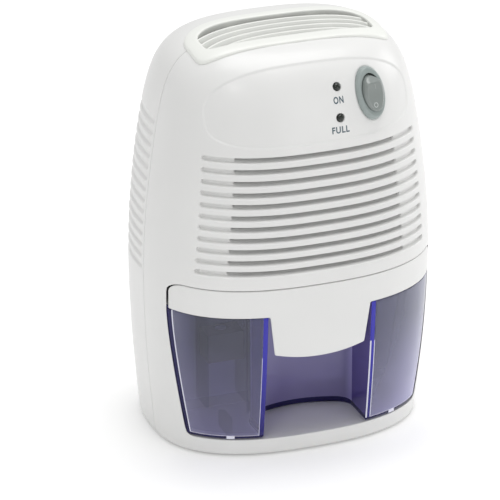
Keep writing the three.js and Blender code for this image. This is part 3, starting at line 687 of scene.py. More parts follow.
def set_inputs(tree, node, values):
    """Links an input that is given another node's output, and sets any other to the value given."""
    for name, value in values.items():
        if isinstance(value, bpy.types.NodeSocket):
            tree.links.new(value, node.inputs[name])
        else:
            node.inputs[name].default_value = value


def add_node(tree, kind, values):
    """Adds a shader node of this kind and sets its inputs."""
    node = tree.nodes.new("ShaderNode" + kind)
    set_inputs(tree, node, values)
    return node


def noise(tree, scale, detail=2.0, stretch=None):
    """Noise in object space, in patches of about 1/scale metres, finer along the stretched axes."""
    place = tree.nodes.new("ShaderNodeTexCoord").outputs["Object"]
    if stretch:
        place = add_node(tree, "Mapping", {"Vector": place, "Scale": stretch}).outputs["Vector"]
    return add_node(tree, "TexNoise", {"Vector": place, "Scale": scale, "Detail": detail}).outputs["Fac"]


def between(tree, source, low, high, start=0.3, stop=0.7):
    """A number that goes from low to high as the source goes from start to stop."""
    limits = {"From Min": start, "From Max": stop, "To Min": low, "To Max": high}
    return add_node(tree, "MapRange", {"Value": source, **limits}).outputs["Result"]


def tint(tree, source, first, second, start=0.35, stop=0.65):
    """A colour that goes from the first to the second as the source goes from start to stop."""
    blend = add_node(tree, "ValToRGB", {"Fac": source})
    for element, position, colour in zip(blend.color_ramp.elements, (start, stop), (first, second)):
        element.position = position
        element.color = (*colour, 1)
    return blend.outputs["Color"]


def bump(tree, source, strength, distance):
    values = {"Height": source, "Strength": strength, "Distance": distance}
    return add_node(tree, "Bump", values).outputs["Normal"]


def plastic(name, light, dark, rough, grain=900.0, depth=2e-5, coat=0.0, ior=1.5):
    """Moulded plastic: slow colour drift, a fine moulded grain and uneven gloss."""
    tree, shader = new_material(name)
    fine = noise(tree, grain)
    set_inputs(tree, shader, {
        "Base Color": tint(tree, noise(tree, 28.0, 3.0), dark, light),
        "Roughness": between(tree, fine, *rough),
        "Normal": bump(tree, fine, 0.25, depth),
        "IOR": ior,
        "Coat Weight": coat,
        "Coat Roughness": 0.12,
    })


def brushed(name, light, dark, rough, stretch=(1, 1, 14)):
    """Extruded or rolled metal with streaks."""
    tree, shader = new_material(name)
    streaks = noise(tree, 160.0, stretch=stretch)
    set_inputs(tree, shader, {
        "Base Color": tint(tree, streaks, dark, light),
        "Roughness": between(tree, streaks, *rough),
        "Normal": bump(tree, streaks, 0.3, 0.00002),
        "Metallic": 1.0,
    })


def tinted_inside(name, light, dark):
    """The inner faces of a clear wall, which only tint what is seen through them."""
    tree, _ = new_material(name)
    through = add_node(tree, "BsdfTransparent", {"Color": tint(tree, noise(tree, 22.0), dark, light)})
    set_inputs(tree, tree.nodes["Material Output"], {"Surface": through.outputs["BSDF"]})


def clear_violet(name, glass, low_body, high_body, share, gloss=0.5):
    """Tinted clear plastic. The light passes tinted, less of it where the wall is seen edge on, and the
    rest meets a glossy body whose colour changes over the tank's height: painted light and shade, from
    the low body colour at the tank's floor to the high one at its top, with a slow drift."""
    tree, shader = new_material(name)
    slow = noise(tree, 22.0)
    coords = tree.nodes.new("ShaderNodeTexCoord").outputs["Object"]
    height = add_node(tree, "SeparateXYZ", {"Vector": coords}).outputs["Z"]
    rise = between(tree, height, 0.0, 1.0, TANK_FLOOR * MM, TANK_TOP * MM)
    # slow drift plus a painted gradient of light and shade up the tank
    uneven = add_node(tree, "Math", {0: slow, 1: 0.5, 2: rise})
    uneven.operation = "MULTIPLY_ADD"
    set_inputs(tree, shader, {
        "Base Color": tint(tree, uneven.outputs["Value"], low_body, high_body, 0.25, 1.0),
        "Roughness": between(tree, noise(tree, 500.0), 0.06, 0.108),
        "Normal": bump(tree, slow, 0.2, 0.0001),
        "IOR": 1.49,
        "Specular IOR Level": gloss,
    })
    facing = add_node(tree, "LayerWeight", {"Blend": 0.5}).outputs["Facing"]
    amount = between(tree, facing, share, min(1.0, share + 0.6), 0.2, 0.75)
    through = add_node(tree, "BsdfTransparent", {"Color": (*glass, 1)})
    mix = add_node(tree, "MixShader", {0: amount, 1: through.outputs["BSDF"], 2: shader.outputs["BSDF"]})
    set_inputs(tree, tree.nodes["Material Output"], {"Surface": mix.outputs["Shader"]})


plastic("housing_white", (0.755, 0.755, 0.745), (0.74, 0.74, 0.73), (0.33, 0.39), depth=4e-6, coat=0.12)
plastic("grille_ivory", (0.80, 0.81, 0.775), (0.78, 0.79, 0.755), (0.3, 0.34), grain=2500.0, depth=1e-6)
plastic("switch_slate", (0.30, 0.345, 0.335), (0.28, 0.325, 0.315), (0.3, 0.38), depth=6e-6)
plastic("rocker_grey", (0.225, 0.25, 0.24), (0.21, 0.235, 0.225), (0.2, 0.26), depth=6e-6, coat=0.5)
plastic("switch_mark", (0.50, 0.53, 0.52), (0.47, 0.50, 0.49), (0.4, 0.5))
plastic("switch_faint_mark", (0.33, 0.355, 0.345), (0.31, 0.335, 0.325), (0.4, 0.5))
plastic("label_ink", (0.085, 0.125, 0.15), (0.07, 0.11, 0.135), (0.45, 0.6))
plastic(
    "lamp_dark", (0.006, 0.011, 0.006), (0.003, 0.006, 0.003), (0.05, 0.09), depth=2e-6, coat=0.35, ior=1.45)
plastic("rubber_dark", (0.05, 0.05, 0.052), (0.035, 0.035, 0.037), (0.7, 0.85), grain=500.0, depth=1e-4)
plastic("plastic_dark", (0.028, 0.029, 0.03), (0.02, 0.02, 0.022), (0.4, 0.55), grain=700.0, depth=5e-5)
plastic("ceramic", (0.82, 0.81, 0.77), (0.76, 0.75, 0.71), (0.5, 0.65))
plastic("foam", (0.04, 0.04, 0.042), (0.02, 0.02, 0.022), (0.9, 1.0), grain=420.0, depth=4e-4)
plastic("board_green", (0.03, 0.16, 0.07), (0.02, 0.12, 0.05), (0.3, 0.45))
plastic("lead_insulation", (0.35, 0.02, 0.02), (0.28, 0.015, 0.015), (0.4, 0.5))
brushed("steel", (0.62, 0.63, 0.65), (0.48, 0.49, 0.5), (0.25, 0.4), (3, 3, 3))
brushed("aluminium", (0.70, 0.71, 0.72), (0.58, 0.59, 0.6), (0.3, 0.45))
# the panes: lighter towards the floor and darker towards the top, painted light and shade
clear_violet("tank_violet", (0.80, 0.79, 0.93), (0.56, 0.54, 0.86), (0.30, 0.31, 0.41), 0.24, gloss=1.0)
# saturated blue strips along the lobes' inner edges: painted light piping along the wall
clear_violet("tank_painted_light_piping", (0.30, 0.28, 0.80), (0.02, 0.015, 0.16), (0.045, 0.04, 0.50), 0.75)
# near-black bands at the tank's foot, along its outer edges and at the recess's foot: painted shade
clear_violet("tank_painted_shade_band", (0.30, 0.28, 0.60), (0.015, 0.012, 0.07), (0.018, 0.015, 0.08), 0.85, gloss=0.2)
# the pale line just inside the dark bands round the panes: painted highlight
clear_violet("tank_painted_highlight", (0.90, 0.90, 0.96), (0.80, 0.80, 0.92), (0.76, 0.76, 0.88), 0.9)
# the recess's back wall: darker towards its foot, painted shade
clear_violet("tank_recess_painted_shade", (0.86, 0.85, 0.95), (0.30, 0.26, 0.56), (0.62, 0.60, 0.86), 0.5)
# the recess's side walls: a darker copy of the violet, painted shade
clear_violet("tank_recess_side_painted_shade", (0.60, 0.54, 0.86), (0.09, 0.07, 0.25), (0.14, 0.11, 0.34), 0.5)
tinted_inside("tank_inside", (0.90, 0.895, 0.96), (0.86, 0.85, 0.94))


def piece(thing, body, slot, *nodes):
    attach(thing, body)
    if nodes:
        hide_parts(*nodes)


# ---- housings -------------------------------------------------------------------------------
def add_vane(shape, z, half):
    """A slanted vane behind a louvre slot, rising inwards from the slot's lower lip."""
    lip = -SLOT_HEIGHT / 2
    section = np.array([
        (0, 7.6, 1.0), (0, 7.4, 1.6), (0, 2.6, lip), (0, 2.0, lip - 0.1), (0, 2.0, lip - 0.9)])
    shape.loft([section + (x, front_face(x, z), z) for x in np.linspace(-half, half, 48)])


def shell_rows(top, count, low_step, high_step):
    """Heights of a shell's rows, which follow its slots and the bars between them."""
    slot_rows = top - SLOT_PITCH * np.arange(-1, 2 * count)[::-1] / 2
    return np.concatenate([
        graded(low_step, GROUND_GAP, slot_rows[0])[:-1],
        slot_rows,
        graded(high_step, slot_rows[-1], SHOULDER + CAP_SPAN)[1:],
    ])


def make_front_shell():
    skin = Skin(front=True)

    def column_step(x, y):
        """Finer columns at the ends of the slots and round the switch and the lamps."""
        step = np.where((x > 66) | (y > -30), 2.8, 2.2)
        step = np.where((x > 43) & (x < 51.6), 0.6, step)
        step = np.where((x > 56.6) & (x < 65.4), 0.6, step)
        return np.where((x > 8) & (x < 41), 1.12, step)

    rows = shell_rows(SLOT_TOP, SLOT_COUNT, lambda z: 2.8, lambda z: np.where(z < 209, 0.95, 1.8))
    patch = Patch(skin, graded_columns(skin, column_step), rows)
    radius = SLOT_HEIGHT / 2
    patch.carve(louvre_field(GROOVE_HALF, radius, 0.45), [
        (-0.5, 1.9), (-0.2, 1.8), (-0.04, 1.3), (0.05, 0.6), (0.16, 0.22), (0.32, 0.05), (0.5, 0.0)])
    patch.carve(lip_field(radius), [(0.15, -0.3), (0.5, -0.13), (0.95, 0.0)])
    patch.carve(louvre_field(SLOT_HALF, radius - 0.1), [(0.0, 0.0), (0.1, 0.0)], hole=True)
    patch.carve(panel_field, [(-0.7, PANEL_DEPTH), (-0.3, 0.44), (0.1, 0.22), (0.5, 0.04), (0.9, 0.0)])
    patch.carve(ellipse_field(SWITCH_SEAT, BEZEL_HALF_WIDTH + FLANGE, BEZEL_HALF_LENGTH + FLANGE), [
        (-0.3, SEAT_DEPTH), (0.1, SEAT_DEPTH), (0.45, 0.15), (0.75, 0.03), (1.0, 0.0)])
    patch.carve(ellipse_field(SWITCH_SEAT, BEZEL_HALF_WIDTH - 0.7, BEZEL_HALF_LENGTH - 0.7), [
        (0.0, 0.0), (0.3, 0.0)], hole=True)
    for seat in LED_SEATS.values():
        lamp_hole = ellipse_field(seat, LED_RADIUS + 0.3, LED_RADIUS + 0.3)
        patch.carve(lamp_hole, [(0.0, 0.35), (0.12, 0.12), (0.4, 0.0)], hole=True)
    patch.carve(bay_field, rounding(0.6), hole=True, along_y=True)
    patch.carve(lambda points: points[:, 2] - GROUND_GAP, rounding(1.0))
    patch.carve(lambda points: skin.seam - points[:, 1], rounding(0.45))

    heights = np.linspace(0, BAY_TOP + 8, 108)
    bay_edge = bay_half(np.minimum(heights, BAY_TOP))

    def edge_place(offset):
        """Where across the skin the side of the tank's opening lies, at each height."""
        def inside(across):
            return skin.point(across, heights, offset)[:, 0] <= bay_edge
        return sum(bisect(inside, np.zeros(len(heights)), np.full(len(heights), 0.5), 30)) / 2

    outer_edge, inner_edge = edge_place(0.0), edge_place(-WALL)

    def inner(across, up):
        """Slides the inner surface so that the sides of the opening run straight back."""
        share = np.clip((BAY_TOP + 7 - up) / 6, 0, 1)
        start = np.interp(up, heights, outer_edge)
        end = np.interp(up, heights, inner_edge)
        near = np.minimum(across, 1 - across)
        moved = np.where(near < start, near * end / start, 0.5 - (0.5 - near) * (0.5 - end) / (0.5 - start))
        near = near + (moved - near) * share
        return np.where(across < 0.5, near, 1 - near)

    shape = Shape()
    patch.shell(shape, WALL, inner)
    seam, tip = skin.seam, skin.seam - SCREW_DEPTH
    for x, z in SCREW_POSTS:
        start = float(front_face(abs(x) + POST_RADIUS, z)) + 1.5
        post = [
            (0, start), (POST_RADIUS, start), (POST_RADIUS, seam), (SCREW_BORE, seam), (SCREW_BORE, tip),
            (0, tip)]
        shape.loft(turned(post, 24, along_y(x, z)))
    for k in range(SLOT_COUNT):
        add_vane(shape, SLOT_TOP - SLOT_PITCH * k, np.interp(k, (0, SLOT_COUNT - 1), SLOT_HALF) + 1.0)
    rim = skin.point(np.linspace(0, 1, 120), np.full(120, BAY_FLOOR), -WALL + 0.1)[::-1, :2]
    shape.prism(rim, BAY_FLOOR - WALL, BAY_FLOOR - 0.05)
    piece(shape.object("front_shell", "housing_white"), "housing", "housing_white", "front_housing")


def make_rear_shell():
    skin = Skin(front=False)

    def column_step(x, y):
        """Finer columns at the start of the side grooves and at the ends of the slots."""
        step = np.where(y < 2, 0.7, 2.6)
        return np.where((y > 20) & (x > 42.5) & (x < 62), 0.9, step)

    rows = shell_rows(REAR_SLOT_TOP, REAR_SLOT_COUNT, lambda z: 2.4, lambda z: 1.6)
    patch = Patch(skin, graded_columns(skin, column_step), rows)
    patch.carve(side_groove_field, [(-1.1, 0.9), (-0.6, 0.75), (0.0, 0.4), (0.5, 0.1), (1.0, 0.0)])
    patch.carve(rear_slot_field, [(0.0, 0.35), (0.2, 0.0)], hole=True)
    for x, z in SCREW_POSTS:
        patch.carve(rear_hole_field(x, z, WELL_RADIUS), rounding(0.5), hole=True)
    patch.carve(rear_hole_field(JACK_X, JACK_Z, JACK_HOLE), rounding(0.4), hole=True)
    patch.carve(lambda points: points[:, 2] - GROUND_GAP, rounding(1.0))
    patch.carve(lambda points: points[:, 1] - skin.seam, rounding(0.45))
    shape = Shape()
    patch.shell(shape, WALL)

    seam, bore, wide = skin.seam, SCREW_BORE, BOSS_RADIUS
    for x, z in SCREW_POSTS:
        outer = min(float(rear_face(abs(x) + wide, z)), float(rear_face(x, z + wide))) - 1.2
        well = [(bore, seam), (wide, seam), (wide, outer), (WELL_RADIUS, outer), (WELL_RADIUS, WELL_FLOOR_Y),
                (bore, WELL_FLOOR_Y)]
        shape.loft(turned(well, 28, along_y(x, z)), closed=True)
    for x, y in BASE_SCREWS:
        boss = [(bore, 6), (POST_RADIUS, 6), (POST_RADIUS, 22), (0, 22), (0, 20), (bore, 20)]
        shape.loft(turned(boss, 20, upright(x, y)), closed=True)
    piece(shape.object("rear_shell", "housing_white"), "housing", "housing_white", "rear_housing")


make_front_shell()
make_rear_shell()


# ---- top grille -----------------------------------------------------------------------------
def rib_line(y):
    """A grille rib's centre line, which bends forwards at both ends and stops inside the frame."""
    half, overlap = GRILLE_OPENING[0], 2.0
    x = np.linspace(0, half + overlap, 400)
    inside = arch_measure(x, y - RIB_BOW * (x / half) ** 2, GRILLE_OPENING, -overlap) < 0
    end = x[inside].max()
    x = np.linspace(-end, end, 72)
    return x, y - RIB_BOW * (x / half) ** 2


def make_grille():
    outer, opening = arch_outline(GRILLE_FRAME), arch_outline(GRILLE_OPENING)

    def on_top(x, y, rise):
        return np.stack([x, y, top_height(x, y, rise)], axis=1)

    def ring(share, rise):
        """Between the frame's outer outline (0) and its opening (1), at a rise above the body."""
        x, y = (a + (b - a) * share for a, b in zip(outer, opening))
        return on_top(x, y, rise)

    crest, under = GRILLE_RISE, -WALL - 1.5
    section = [
        (0.0, 0.08), (0.0, 0.45), (0.02, 0.8), (0.06, 1.08), (0.14, crest - 0.05), (0.3, crest),
        (0.5, crest), (0.7, crest), (0.86, crest - 0.06), (0.94, 1.05), (0.985, 0.7), (1.0, 0.2),
        (1.0, -2.0), (1.0, under)]
    rings = [ring(share, rise) for share, rise in section]
    skirt = arch_outline(GRILLE_FRAME, GRILLE_LIP + GAP)
    shape = Shape().loft(rings + [on_top(*skirt, under), on_top(*skirt, 0.08)], closed=True)

    # across, along y and up: a slat that leans forwards
    slat = np.array([
        (0, 1.1, -0.5), (0, 0.95, -0.12), (0, 0.6, 0.0), (0, 0.25, -0.05), (0, -0.15, -0.4),
        (0, -1.9, -3.4), (0, -1.95, -3.8), (0, -1.6, -4.2), (0, -0.6, -4.2)])
    for k in range(RIB_COUNT):
        line = zip(*rib_line(RIB_LAST - RIB_PITCH * k))
        shape.loft([slat + (x, y, top_height(x, y)) for x, y in line])
    tie = np.array([(-1, 0, -3.2), (1, 0, -3.2), (1, 0, -4.8), (-1, 0, -4.8)])
    _, front, rear = GRILLE_OPENING
    for x in (-TIE_X, TIE_X):
        shape.loft([tie + (x, y, top_height(x, y)) for y in np.linspace(front - 1.5, rear + 1.5, 24)])
    piece(shape.object("outlet_grille", "grille_ivory"), "housing", "grille_ivory", "top_grille")


# ---- tank -----------------------------------------------------------------------------------
def curve3(start, control, end, count):
    """A quadratic curve without its last point."""
    t = np.arange(count)[:, None] / count
    start, control, end = (np.asarray(point, float) for point in (start, control, end))
    return (1 - t) ** 2 * start + 2 * t * (1 - t) * control + t**2 * end


RECESS_PART, SIDE_PART, CORNER_PART, PANE_PART, WALL_PART = range(5)
INNER_EDGE, OUTER_EDGE, INNER_LINE, OUTER_LINE = range(5, 9)
INNER_BAND, OUTER_BAND, LINE = 2.7, 1.2, 0.35  # widths of the bands round the tank's panes (painted light piping on the inner side, painted shade on the outer) and of the painted highlight line where the panes rise
# RECESS_BORDER: height of the painted shade band at the recess's foot
PANE_RISE, RECESS_BORDER = 0.25, 1.2
RAIL_TOP = 76.0  # of the two rails that the float runs between
RIB_X = 45.5  # of the rib and the small tab at the foot of each lobe


def tank_outline(z, inset, soft, pane):
    """The tank's plan outline at a height, anticlockwise, with the part that each stretch belongs to."""
    side = float(bay_half(z)) - TANK_INSET - inset
    back = BAY_BACK - inset
    half = RECESS_HALF + inset
    flat = RECESS_HALF - RECESS_CORNER
    depth = RECESS_DEPTH + inset
    edge = depth - RECESS_BOW
    turn_in = edge - 2 * RECESS_BOW / flat * (half - flat)
    corner_end = turn_in - (half - flat)

    def front(x):
        return front_face(x, z, -BEHIND_BODY - inset - PANE_RISE)

    borders = (half + soft, half + INNER_BAND, half + INNER_BAND + LINE,
               side - OUTER_BAND - LINE, side - OUTER_BAND, side - soft)

    def along_front(first, count):
        """The front from one border to the next. The panes stand in front of the band round them."""
        x = np.linspace(borders[first], borders[first + 1], count + 1)[:-1]
        raised = np.interp(x, borders[1:5], (0, 1, 1, 0)) * PANE_RISE * pane
        return np.column_stack([x, front(x) - raised])

    rear_soft = 4.0
    lobe = front(half) + soft
    wall = front(side) + soft
    lobe_corner = curve3((half, lobe), (half, front(half)), (half + soft, front(half + soft)), 4)
    recess = np.linspace(0, flat, 14)[:-1]
    stretches = [
        (RECESS_PART, np.column_stack([recess, depth - RECESS_BOW * (recess / flat) ** 2])),
        (RECESS_PART, curve3((flat, edge), (half, turn_in), (half, corner_end), 8)),
        (SIDE_PART, curve3((half, corner_end), (half, (corner_end + lobe) / 2), (half, lobe), 10)),
        (SIDE_PART, lobe_corner[:2]),
        (CORNER_PART, lobe_corner[2:]),
        (INNER_EDGE, along_front(0, 3)),
        (INNER_LINE, along_front(1, 2)),
        (PANE_PART, along_front(2, 26)),
        (OUTER_LINE, along_front(3, 2)),
        (OUTER_EDGE, along_front(4, 3)),
        (OUTER_EDGE, curve3((side - soft, front(side - soft)), (side, front(side)), (side, wall), 4)),
        (WALL_PART, curve3((side, wall), (side, front(side) / 2), (side, back - rear_soft), 10)),
        (WALL_PART, curve3((side, back - rear_soft), (side, back), (side - rear_soft, back), 5)),
        (WALL_PART, curve3((side - rear_soft, back), ((side - rear_soft) / 2, back), (0, back), 14)),
    ]
    right = np.concatenate([points for _, points in stretches])
    parts = [part for part, points in stretches for _ in points]
    left = np.concatenate([[(0, back)], right[:0:-1] * (-1, 1)])
    ring = np.concatenate([right, left])
    # on the left lobe the inner corner takes the painted light piping all the way up
    mirrored = [INNER_EDGE if part == CORNER_PART else part for part in parts[::-1]]
    return np.column_stack([ring, np.full(len(ring), z)]), parts + mirrored


PANE_SLOT, PIPED_LIGHT_SLOT, PAINTED_SHADE_SLOT, HIGHLIGHT_SLOT, SHADED_RECESS_SLOT, SHADED_SIDE_SLOT, INSIDE_SLOT = range(7)
TANK_LOOKS = (
    "tank_violet", "tank_painted_light_piping", "tank_painted_shade_band", "tank_painted_highlight", "tank_recess_painted_shade", "tank_recess_side_painted_shade",
    "tank_inside")


def tank_slot(part, z, low, outside):
    """Which material a stretch of the tank's outline takes at a height. It places the painted light and
    shade: painted shade at the tank's foot, along its outer edges and at the foot of the recess, painted
    light piping along the lobes' inner edges, and painted highlight lines along the panes' feet and outer
    sides, and along their inner sides and corners only below the tongue, which shades the part above.
    """
    if not outside:
        return INSIDE_SLOT
    if z < low:
        return PAINTED_SHADE_SLOT if part != WALL_PART else PANE_SLOT
    if part in (RECESS_PART, SIDE_PART):
        if z < low + RECESS_BORDER:
            return PAINTED_SHADE_SLOT
        return SHADED_RECESS_SLOT if part == RECESS_PART else SHADED_SIDE_SLOT
    if z < low + LINE and part in (PANE_PART, INNER_LINE, OUTER_LINE):
        return HIGHLIGHT_SLOT
    # the inner sides and corners take the painted highlight only below the tongue, which shades the part
    # above
    if part == OUTER_LINE or part in (INNER_LINE, CORNER_PART) and z < TONGUE_CORNER:
        return HIGHLIGHT_SLOT
    if part in (INNER_EDGE, CORNER_PART):
        return PIPED_LIGHT_SLOT
    return PAINTED_SHADE_SLOT if part == OUTER_EDGE else PANE_SLOT


def rectangle(left, right, front, rear):
    return np.array([(left, front), (right, front), (right, rear), (left, rear)])


def make_tank():
    base_round, top_round, inner_round = 1.6, 0.35, 1.4
    low, high = TANK_FLOOR + base_round + 0.4, TANK_TOP - top_round
    floor = TANK_FLOOR + TANK_WALL
    quarter = [(1 - math.cos(turn), 1 - math.sin(turn)) for turn in np.linspace(0, math.pi / 2, 5)]
    # rows: height, how far in from the outer surface, softness of the corners, how far the panes stand out
    rows = [(TANK_FLOOR + base_round * a, base_round * b, 1.0, 0) for a, b in quarter[:-1]]
    rows += [(TANK_FLOOR + base_round, 0.0, 1.0, 0), (low, 0.0, 1.0, 0), (low + LINE / 2, 0.0, 1.0, 0.5)]
    rows += [(z, 0.0, 1.0, 1) for z in (low + LINE, *np.linspace(low + LINE + 1.2, high, 25))]
    rows += [(TANK_TOP - 0.1, 0.1, 1.0, 1), (TANK_TOP, top_round, 0.9, 1)]
    rows += [(TANK_TOP, TANK_WALL - top_round, 0.6, 0), (TANK_TOP - 0.1, TANK_WALL - 0.1, 0.6, 0)]
    rows += [(z, TANK_WALL, 0.6, 0) for z in np.linspace(high, floor + inner_round, 26)]
    rows += [(floor + inner_round * b, TANK_WALL + inner_round * a, 0.6, 0) for a, b in quarter[1:]]
    rings, parts = zip(*(tank_outline(*row) for row in rows))
    slots = []
    for (z, inset, _, _), (above, inset_above, _, _) in zip(rows, rows[1:]):
        outside = max(inset, inset_above) < TANK_WALL / 2
        slots += [tank_slot(part, (z + above) / 2, low, outside) for part in parts[0]]
    shape = Shape().loft(rings, slots + [INSIDE_SLOT, INSIDE_SLOT])

    float_low, float_high = (np.array(corner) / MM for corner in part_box("tank_float"))
    rail, foot = 1.6, floor + 0.05
    for x in (float_low[0] - GAP - rail, float_high[0] + GAP):
        plan = rectangle(x, x + rail, float_low[1] - 1, BAY_BACK - TANK_WALL + 0.5)
        shape.prism(plan, foot, RAIL_TOP, INSIDE_SLOT)
    rib, tab = 1.6, 1.9  # half widths
    for x in (-RIB_X, RIB_X):
        plan = rectangle(x - rib, x + rib, front_face(x, 14) + TANK_WALL - 0.2, -34)
        shape.prism(plan, foot, 22.0, INSIDE_SLOT)
        ends = np.array([x - tab, x + tab])
        face = front_face(ends, TANK_FLOOR + 1.5, -BEHIND_BODY)
        plan = np.column_stack([[*ends, *ends[::-1]], [*face - 0.02, *face[::-1] + 1]])
        # the tabs take the pale material of the painted highlight
        shape.prism(plan, TANK_FLOOR + 0.5, low + 0.1, HIGHLIGHT_SLOT)
    piece(shape.object("water_tank", *TANK_LOOKS, sharp=50), "tank_drawer", "tank_violet", "tank")


class CoverSkin(Skin):
    """The front of the cover lies just inside the body's surface."""

    def point(self, across, up, offset=0.0):
        return super().point(across, up, offset - BEHIND_BODY)


def cover_field(points):
    """Above 0 inside the white band and its tongue."""
    x, z = points[:, 0], points[:, 2]
    low = TANK_TOP + GAP
    side = np.abs(x) - BAY_HALF + TANK_INSET
    level = np.maximum(z - BAY_TOP + TANK_INSET, low - z)
    corner = np.where(z > (low + BAY_TOP) / 2, BAY_CORNER - TANK_INSET, 0.4)
    band = rounded(side, level, corner)
    slant = (TONGUE_HALF - TONGUE_TIP_HALF) / (low + 1 - TONGUE_CORNER)
    beside = (np.abs(x) - TONGUE_TIP_HALF - (z - TONGUE_CORNER) * slant) * 0.99
    below = TONGUE_TIP + (TONGUE_CORNER - TONGUE_TIP) * (x / TONGUE_TIP_HALF) ** 2 - z
    tongue = rounded(beside, below, 0.6)
    return -np.minimum(band, np.maximum(tongue, z - low - 1))


def plate(shape, loops, low, high):
    """A flat plate between two heights, with holes."""
    flat = bmesh.new()
    for loop in loops:
        verts = [flat.verts.new((x, y, 0)) for x, y in loop]
        for first, second in zip(verts, verts[1:] + verts[:1]):
            flat.edges.new((first, second))
    bmesh.ops.triangle_fill(flat, use_beauty=True, edges=flat.edges[:], normal=(0, 0, 1))
    flat.verts.index_update()
    points = np.array([vert.co for vert in flat.verts], float)
    faces = []
    for face in flat.faces:
        order = 1 if face.normal.z > 0 else -1
        faces.append([vert.index for vert in face.verts][::order])
    flat.free()
    close_shell(shape, points + (0, 0, high), points + (0, 0, low), faces)


def make_cover():
    skin = CoverSkin(front=True)

    def column_step(x, y):
        return np.where((x > 23) & (x < 29), 0.6, np.where(x > 66, 0.8, 1.7))

    rows = graded(lambda z: np.where(z < 63, 0.7, 1.4), 56.0, BAY_TOP + 1)
    patch = Patch(skin, graded_columns(skin, column_step, 80.0), rows)
    patch.carve(cover_field, rounding(0.5), hole=True)
    shape = Shape()
    patch.shell(shape, WALL)
    low = TANK_TOP + GAP
    half = BAY_HALF - TANK_INSET - 0.2
    x = np.linspace(-half, half, 70)
    front_edge = np.column_stack([x, front_face(x, low + 1, -2.3)])
    drip_x, drip_y, drip_radius = DRIP
    drain_x, drain_y, drain_radius = DRAIN
    plate(shape, [
        [*front_edge, (half, BAY_BACK), (-half, BAY_BACK)],
        circle(drip_radius, 48) + (drip_x, drip_y),
        circle(drain_radius + GAP, 40) + (drain_x, drain_y),
    ], low, low + 2)
    collar = [(0, 1.5), (1.6, 1.5), (1.6, 3.2), (1.3, 3.5), (0.3, 3.5), (0, 3.2)]
    collar = [(drip_radius + out, low + up) for out, up in collar]
    shape.loft(turned(collar, 48, upright(drip_x, drip_y)), closed=True)
    piece(shape.object("tank_lid", "housing_white"), "tank_drawer", "housing_white", "tank_cover")

    plug = [
        (-drain_radius, -3), (-0.9, -3), (-0.4, -2.6), (0, -1), (0, 2.4), (2, 2.4), (2.4, 2.8), (2.4, 3.8),
        (2, 4.2), (-1, 4.2), (-1.4, 3.6), (-drain_radius, 3.6)]
    plug = [(drain_radius + out, low + up) for out, up in plug]
    cap = Shape().loft(turned(plug, 48, upright(drain_x, drain_y)))
    piece(cap.object("drain_cap", "rubber_dark"), "tank_drawer", "rubber_dark", "drain_plug")


# ---- switch, lamps and lettering ------------------------------------------------------------
def panel_out(u, v):
    """How far out of the switch's plane the panel's surface lies."""
    out = np.zeros(len(u))
    for _ in range(4):
        x, y, z = SWITCH_SEAT.world(np.column_stack([u, v, out])).T
        out = out + (front_face(x, z) - y) * SWITCH_SEAT.axes[2][1]
    return out - PANEL_DEPTH


def make_bezel():
    def ring(inset, out, half_width=BEZEL_HALF_WIDTH, half_length=BEZEL_HALF_LENGTH):
        flat = oval(half_width - inset, half_length - inset)
        return SWITCH_SEAT.world(np.column_stack([flat, np.full(len(flat), out)]))

    def flank(inset, share):
        """From the panel (0) to the bezel's crest (1)."""
        flat = oval(BEZEL_HALF_WIDTH - inset, BEZEL_HALF_LENGTH - inset)
        foot = panel_out(*flat.T) - SEAT_DEPTH + 0.03
        return SWITCH_SEAT.world(np.column_stack([flat, foot + (BEZEL_CREST - foot) * share]))

    well = (ROCKER_HALF_WIDTH + 0.25, ROCKER_HALF_LENGTH + 0.15)
    deep_well = (ROCKER_HALF_WIDTH + 0.5, ROCKER_HALF_LENGTH + 1.2)
    rounded_flank = [
        (0.0, 0.08), (0.03, 0.25), (0.15, 0.45), (0.38, 0.64), (0.7, 0.8), (1.05, 0.92), (1.4, 0.985),
        (1.7, 1.0)]
    well_edge = [(-0.16, 0), (-0.04, 0.1), (0, 0.3), (0, 1)]
    rings = [ring(1.3, -14), flank(1.3, -0.02), flank(-FLANGE + 0.1, 0.0)]
    rings += [flank(inset - FLANGE, share) for inset, share in rounded_flank]
    rings += [ring(inset, BEZEL_CREST - drop, *well) for inset, drop in well_edge]
    rings += [ring(0, BEZEL_CREST - 2, *deep_well), ring(0, -7, *deep_well)]
    shape = Shape().loft(rings)
    piece(shape.object("switch_frame", "switch_slate"), "housing", "switch_slate", "switch_bezel")


def rocker_place(points):
    """From the rocker's own frame, with its pivot along its first axis, to the part's frame."""
    u, v, out = points.T
    sine, cosine = math.sin(ROCKER_REST), math.cos(ROCKER_REST)
    turned_out = v * sine + out * cosine + PIVOT_DEPTH
    return SWITCH_SEAT.world(np.column_stack([u, v * cosine - out * sine, turned_out]))


def rocker_height(u, v):
    """The rocker's face, a shallow hollow with round sides. It slopes down at its on end and a little at
    its off end."""
    soft = 0.14

    def past(start):
        return soft * np.log1p(np.exp(np.minimum((np.abs(v) - start) / soft, 40)))

    end = np.where(v > 0, past(ON_SLOPE_START) * ON_SLOPE, past(OFF_SLOPE_START) * OFF_SLOPE)
    width = ROCKER_HALF_WIDTH * np.sqrt(np.clip(1 - (v / FACE_HALF_LENGTH) ** 2, 0, 1))
    shoulder = 1 - np.clip((width - np.abs(u)) / 1.7, 0, 1)
    return ROCKER_RISE + 0.011 * v**2 - end - shoulder**2 * np.where(np.abs(v) > 7, 0.5, 1.0)


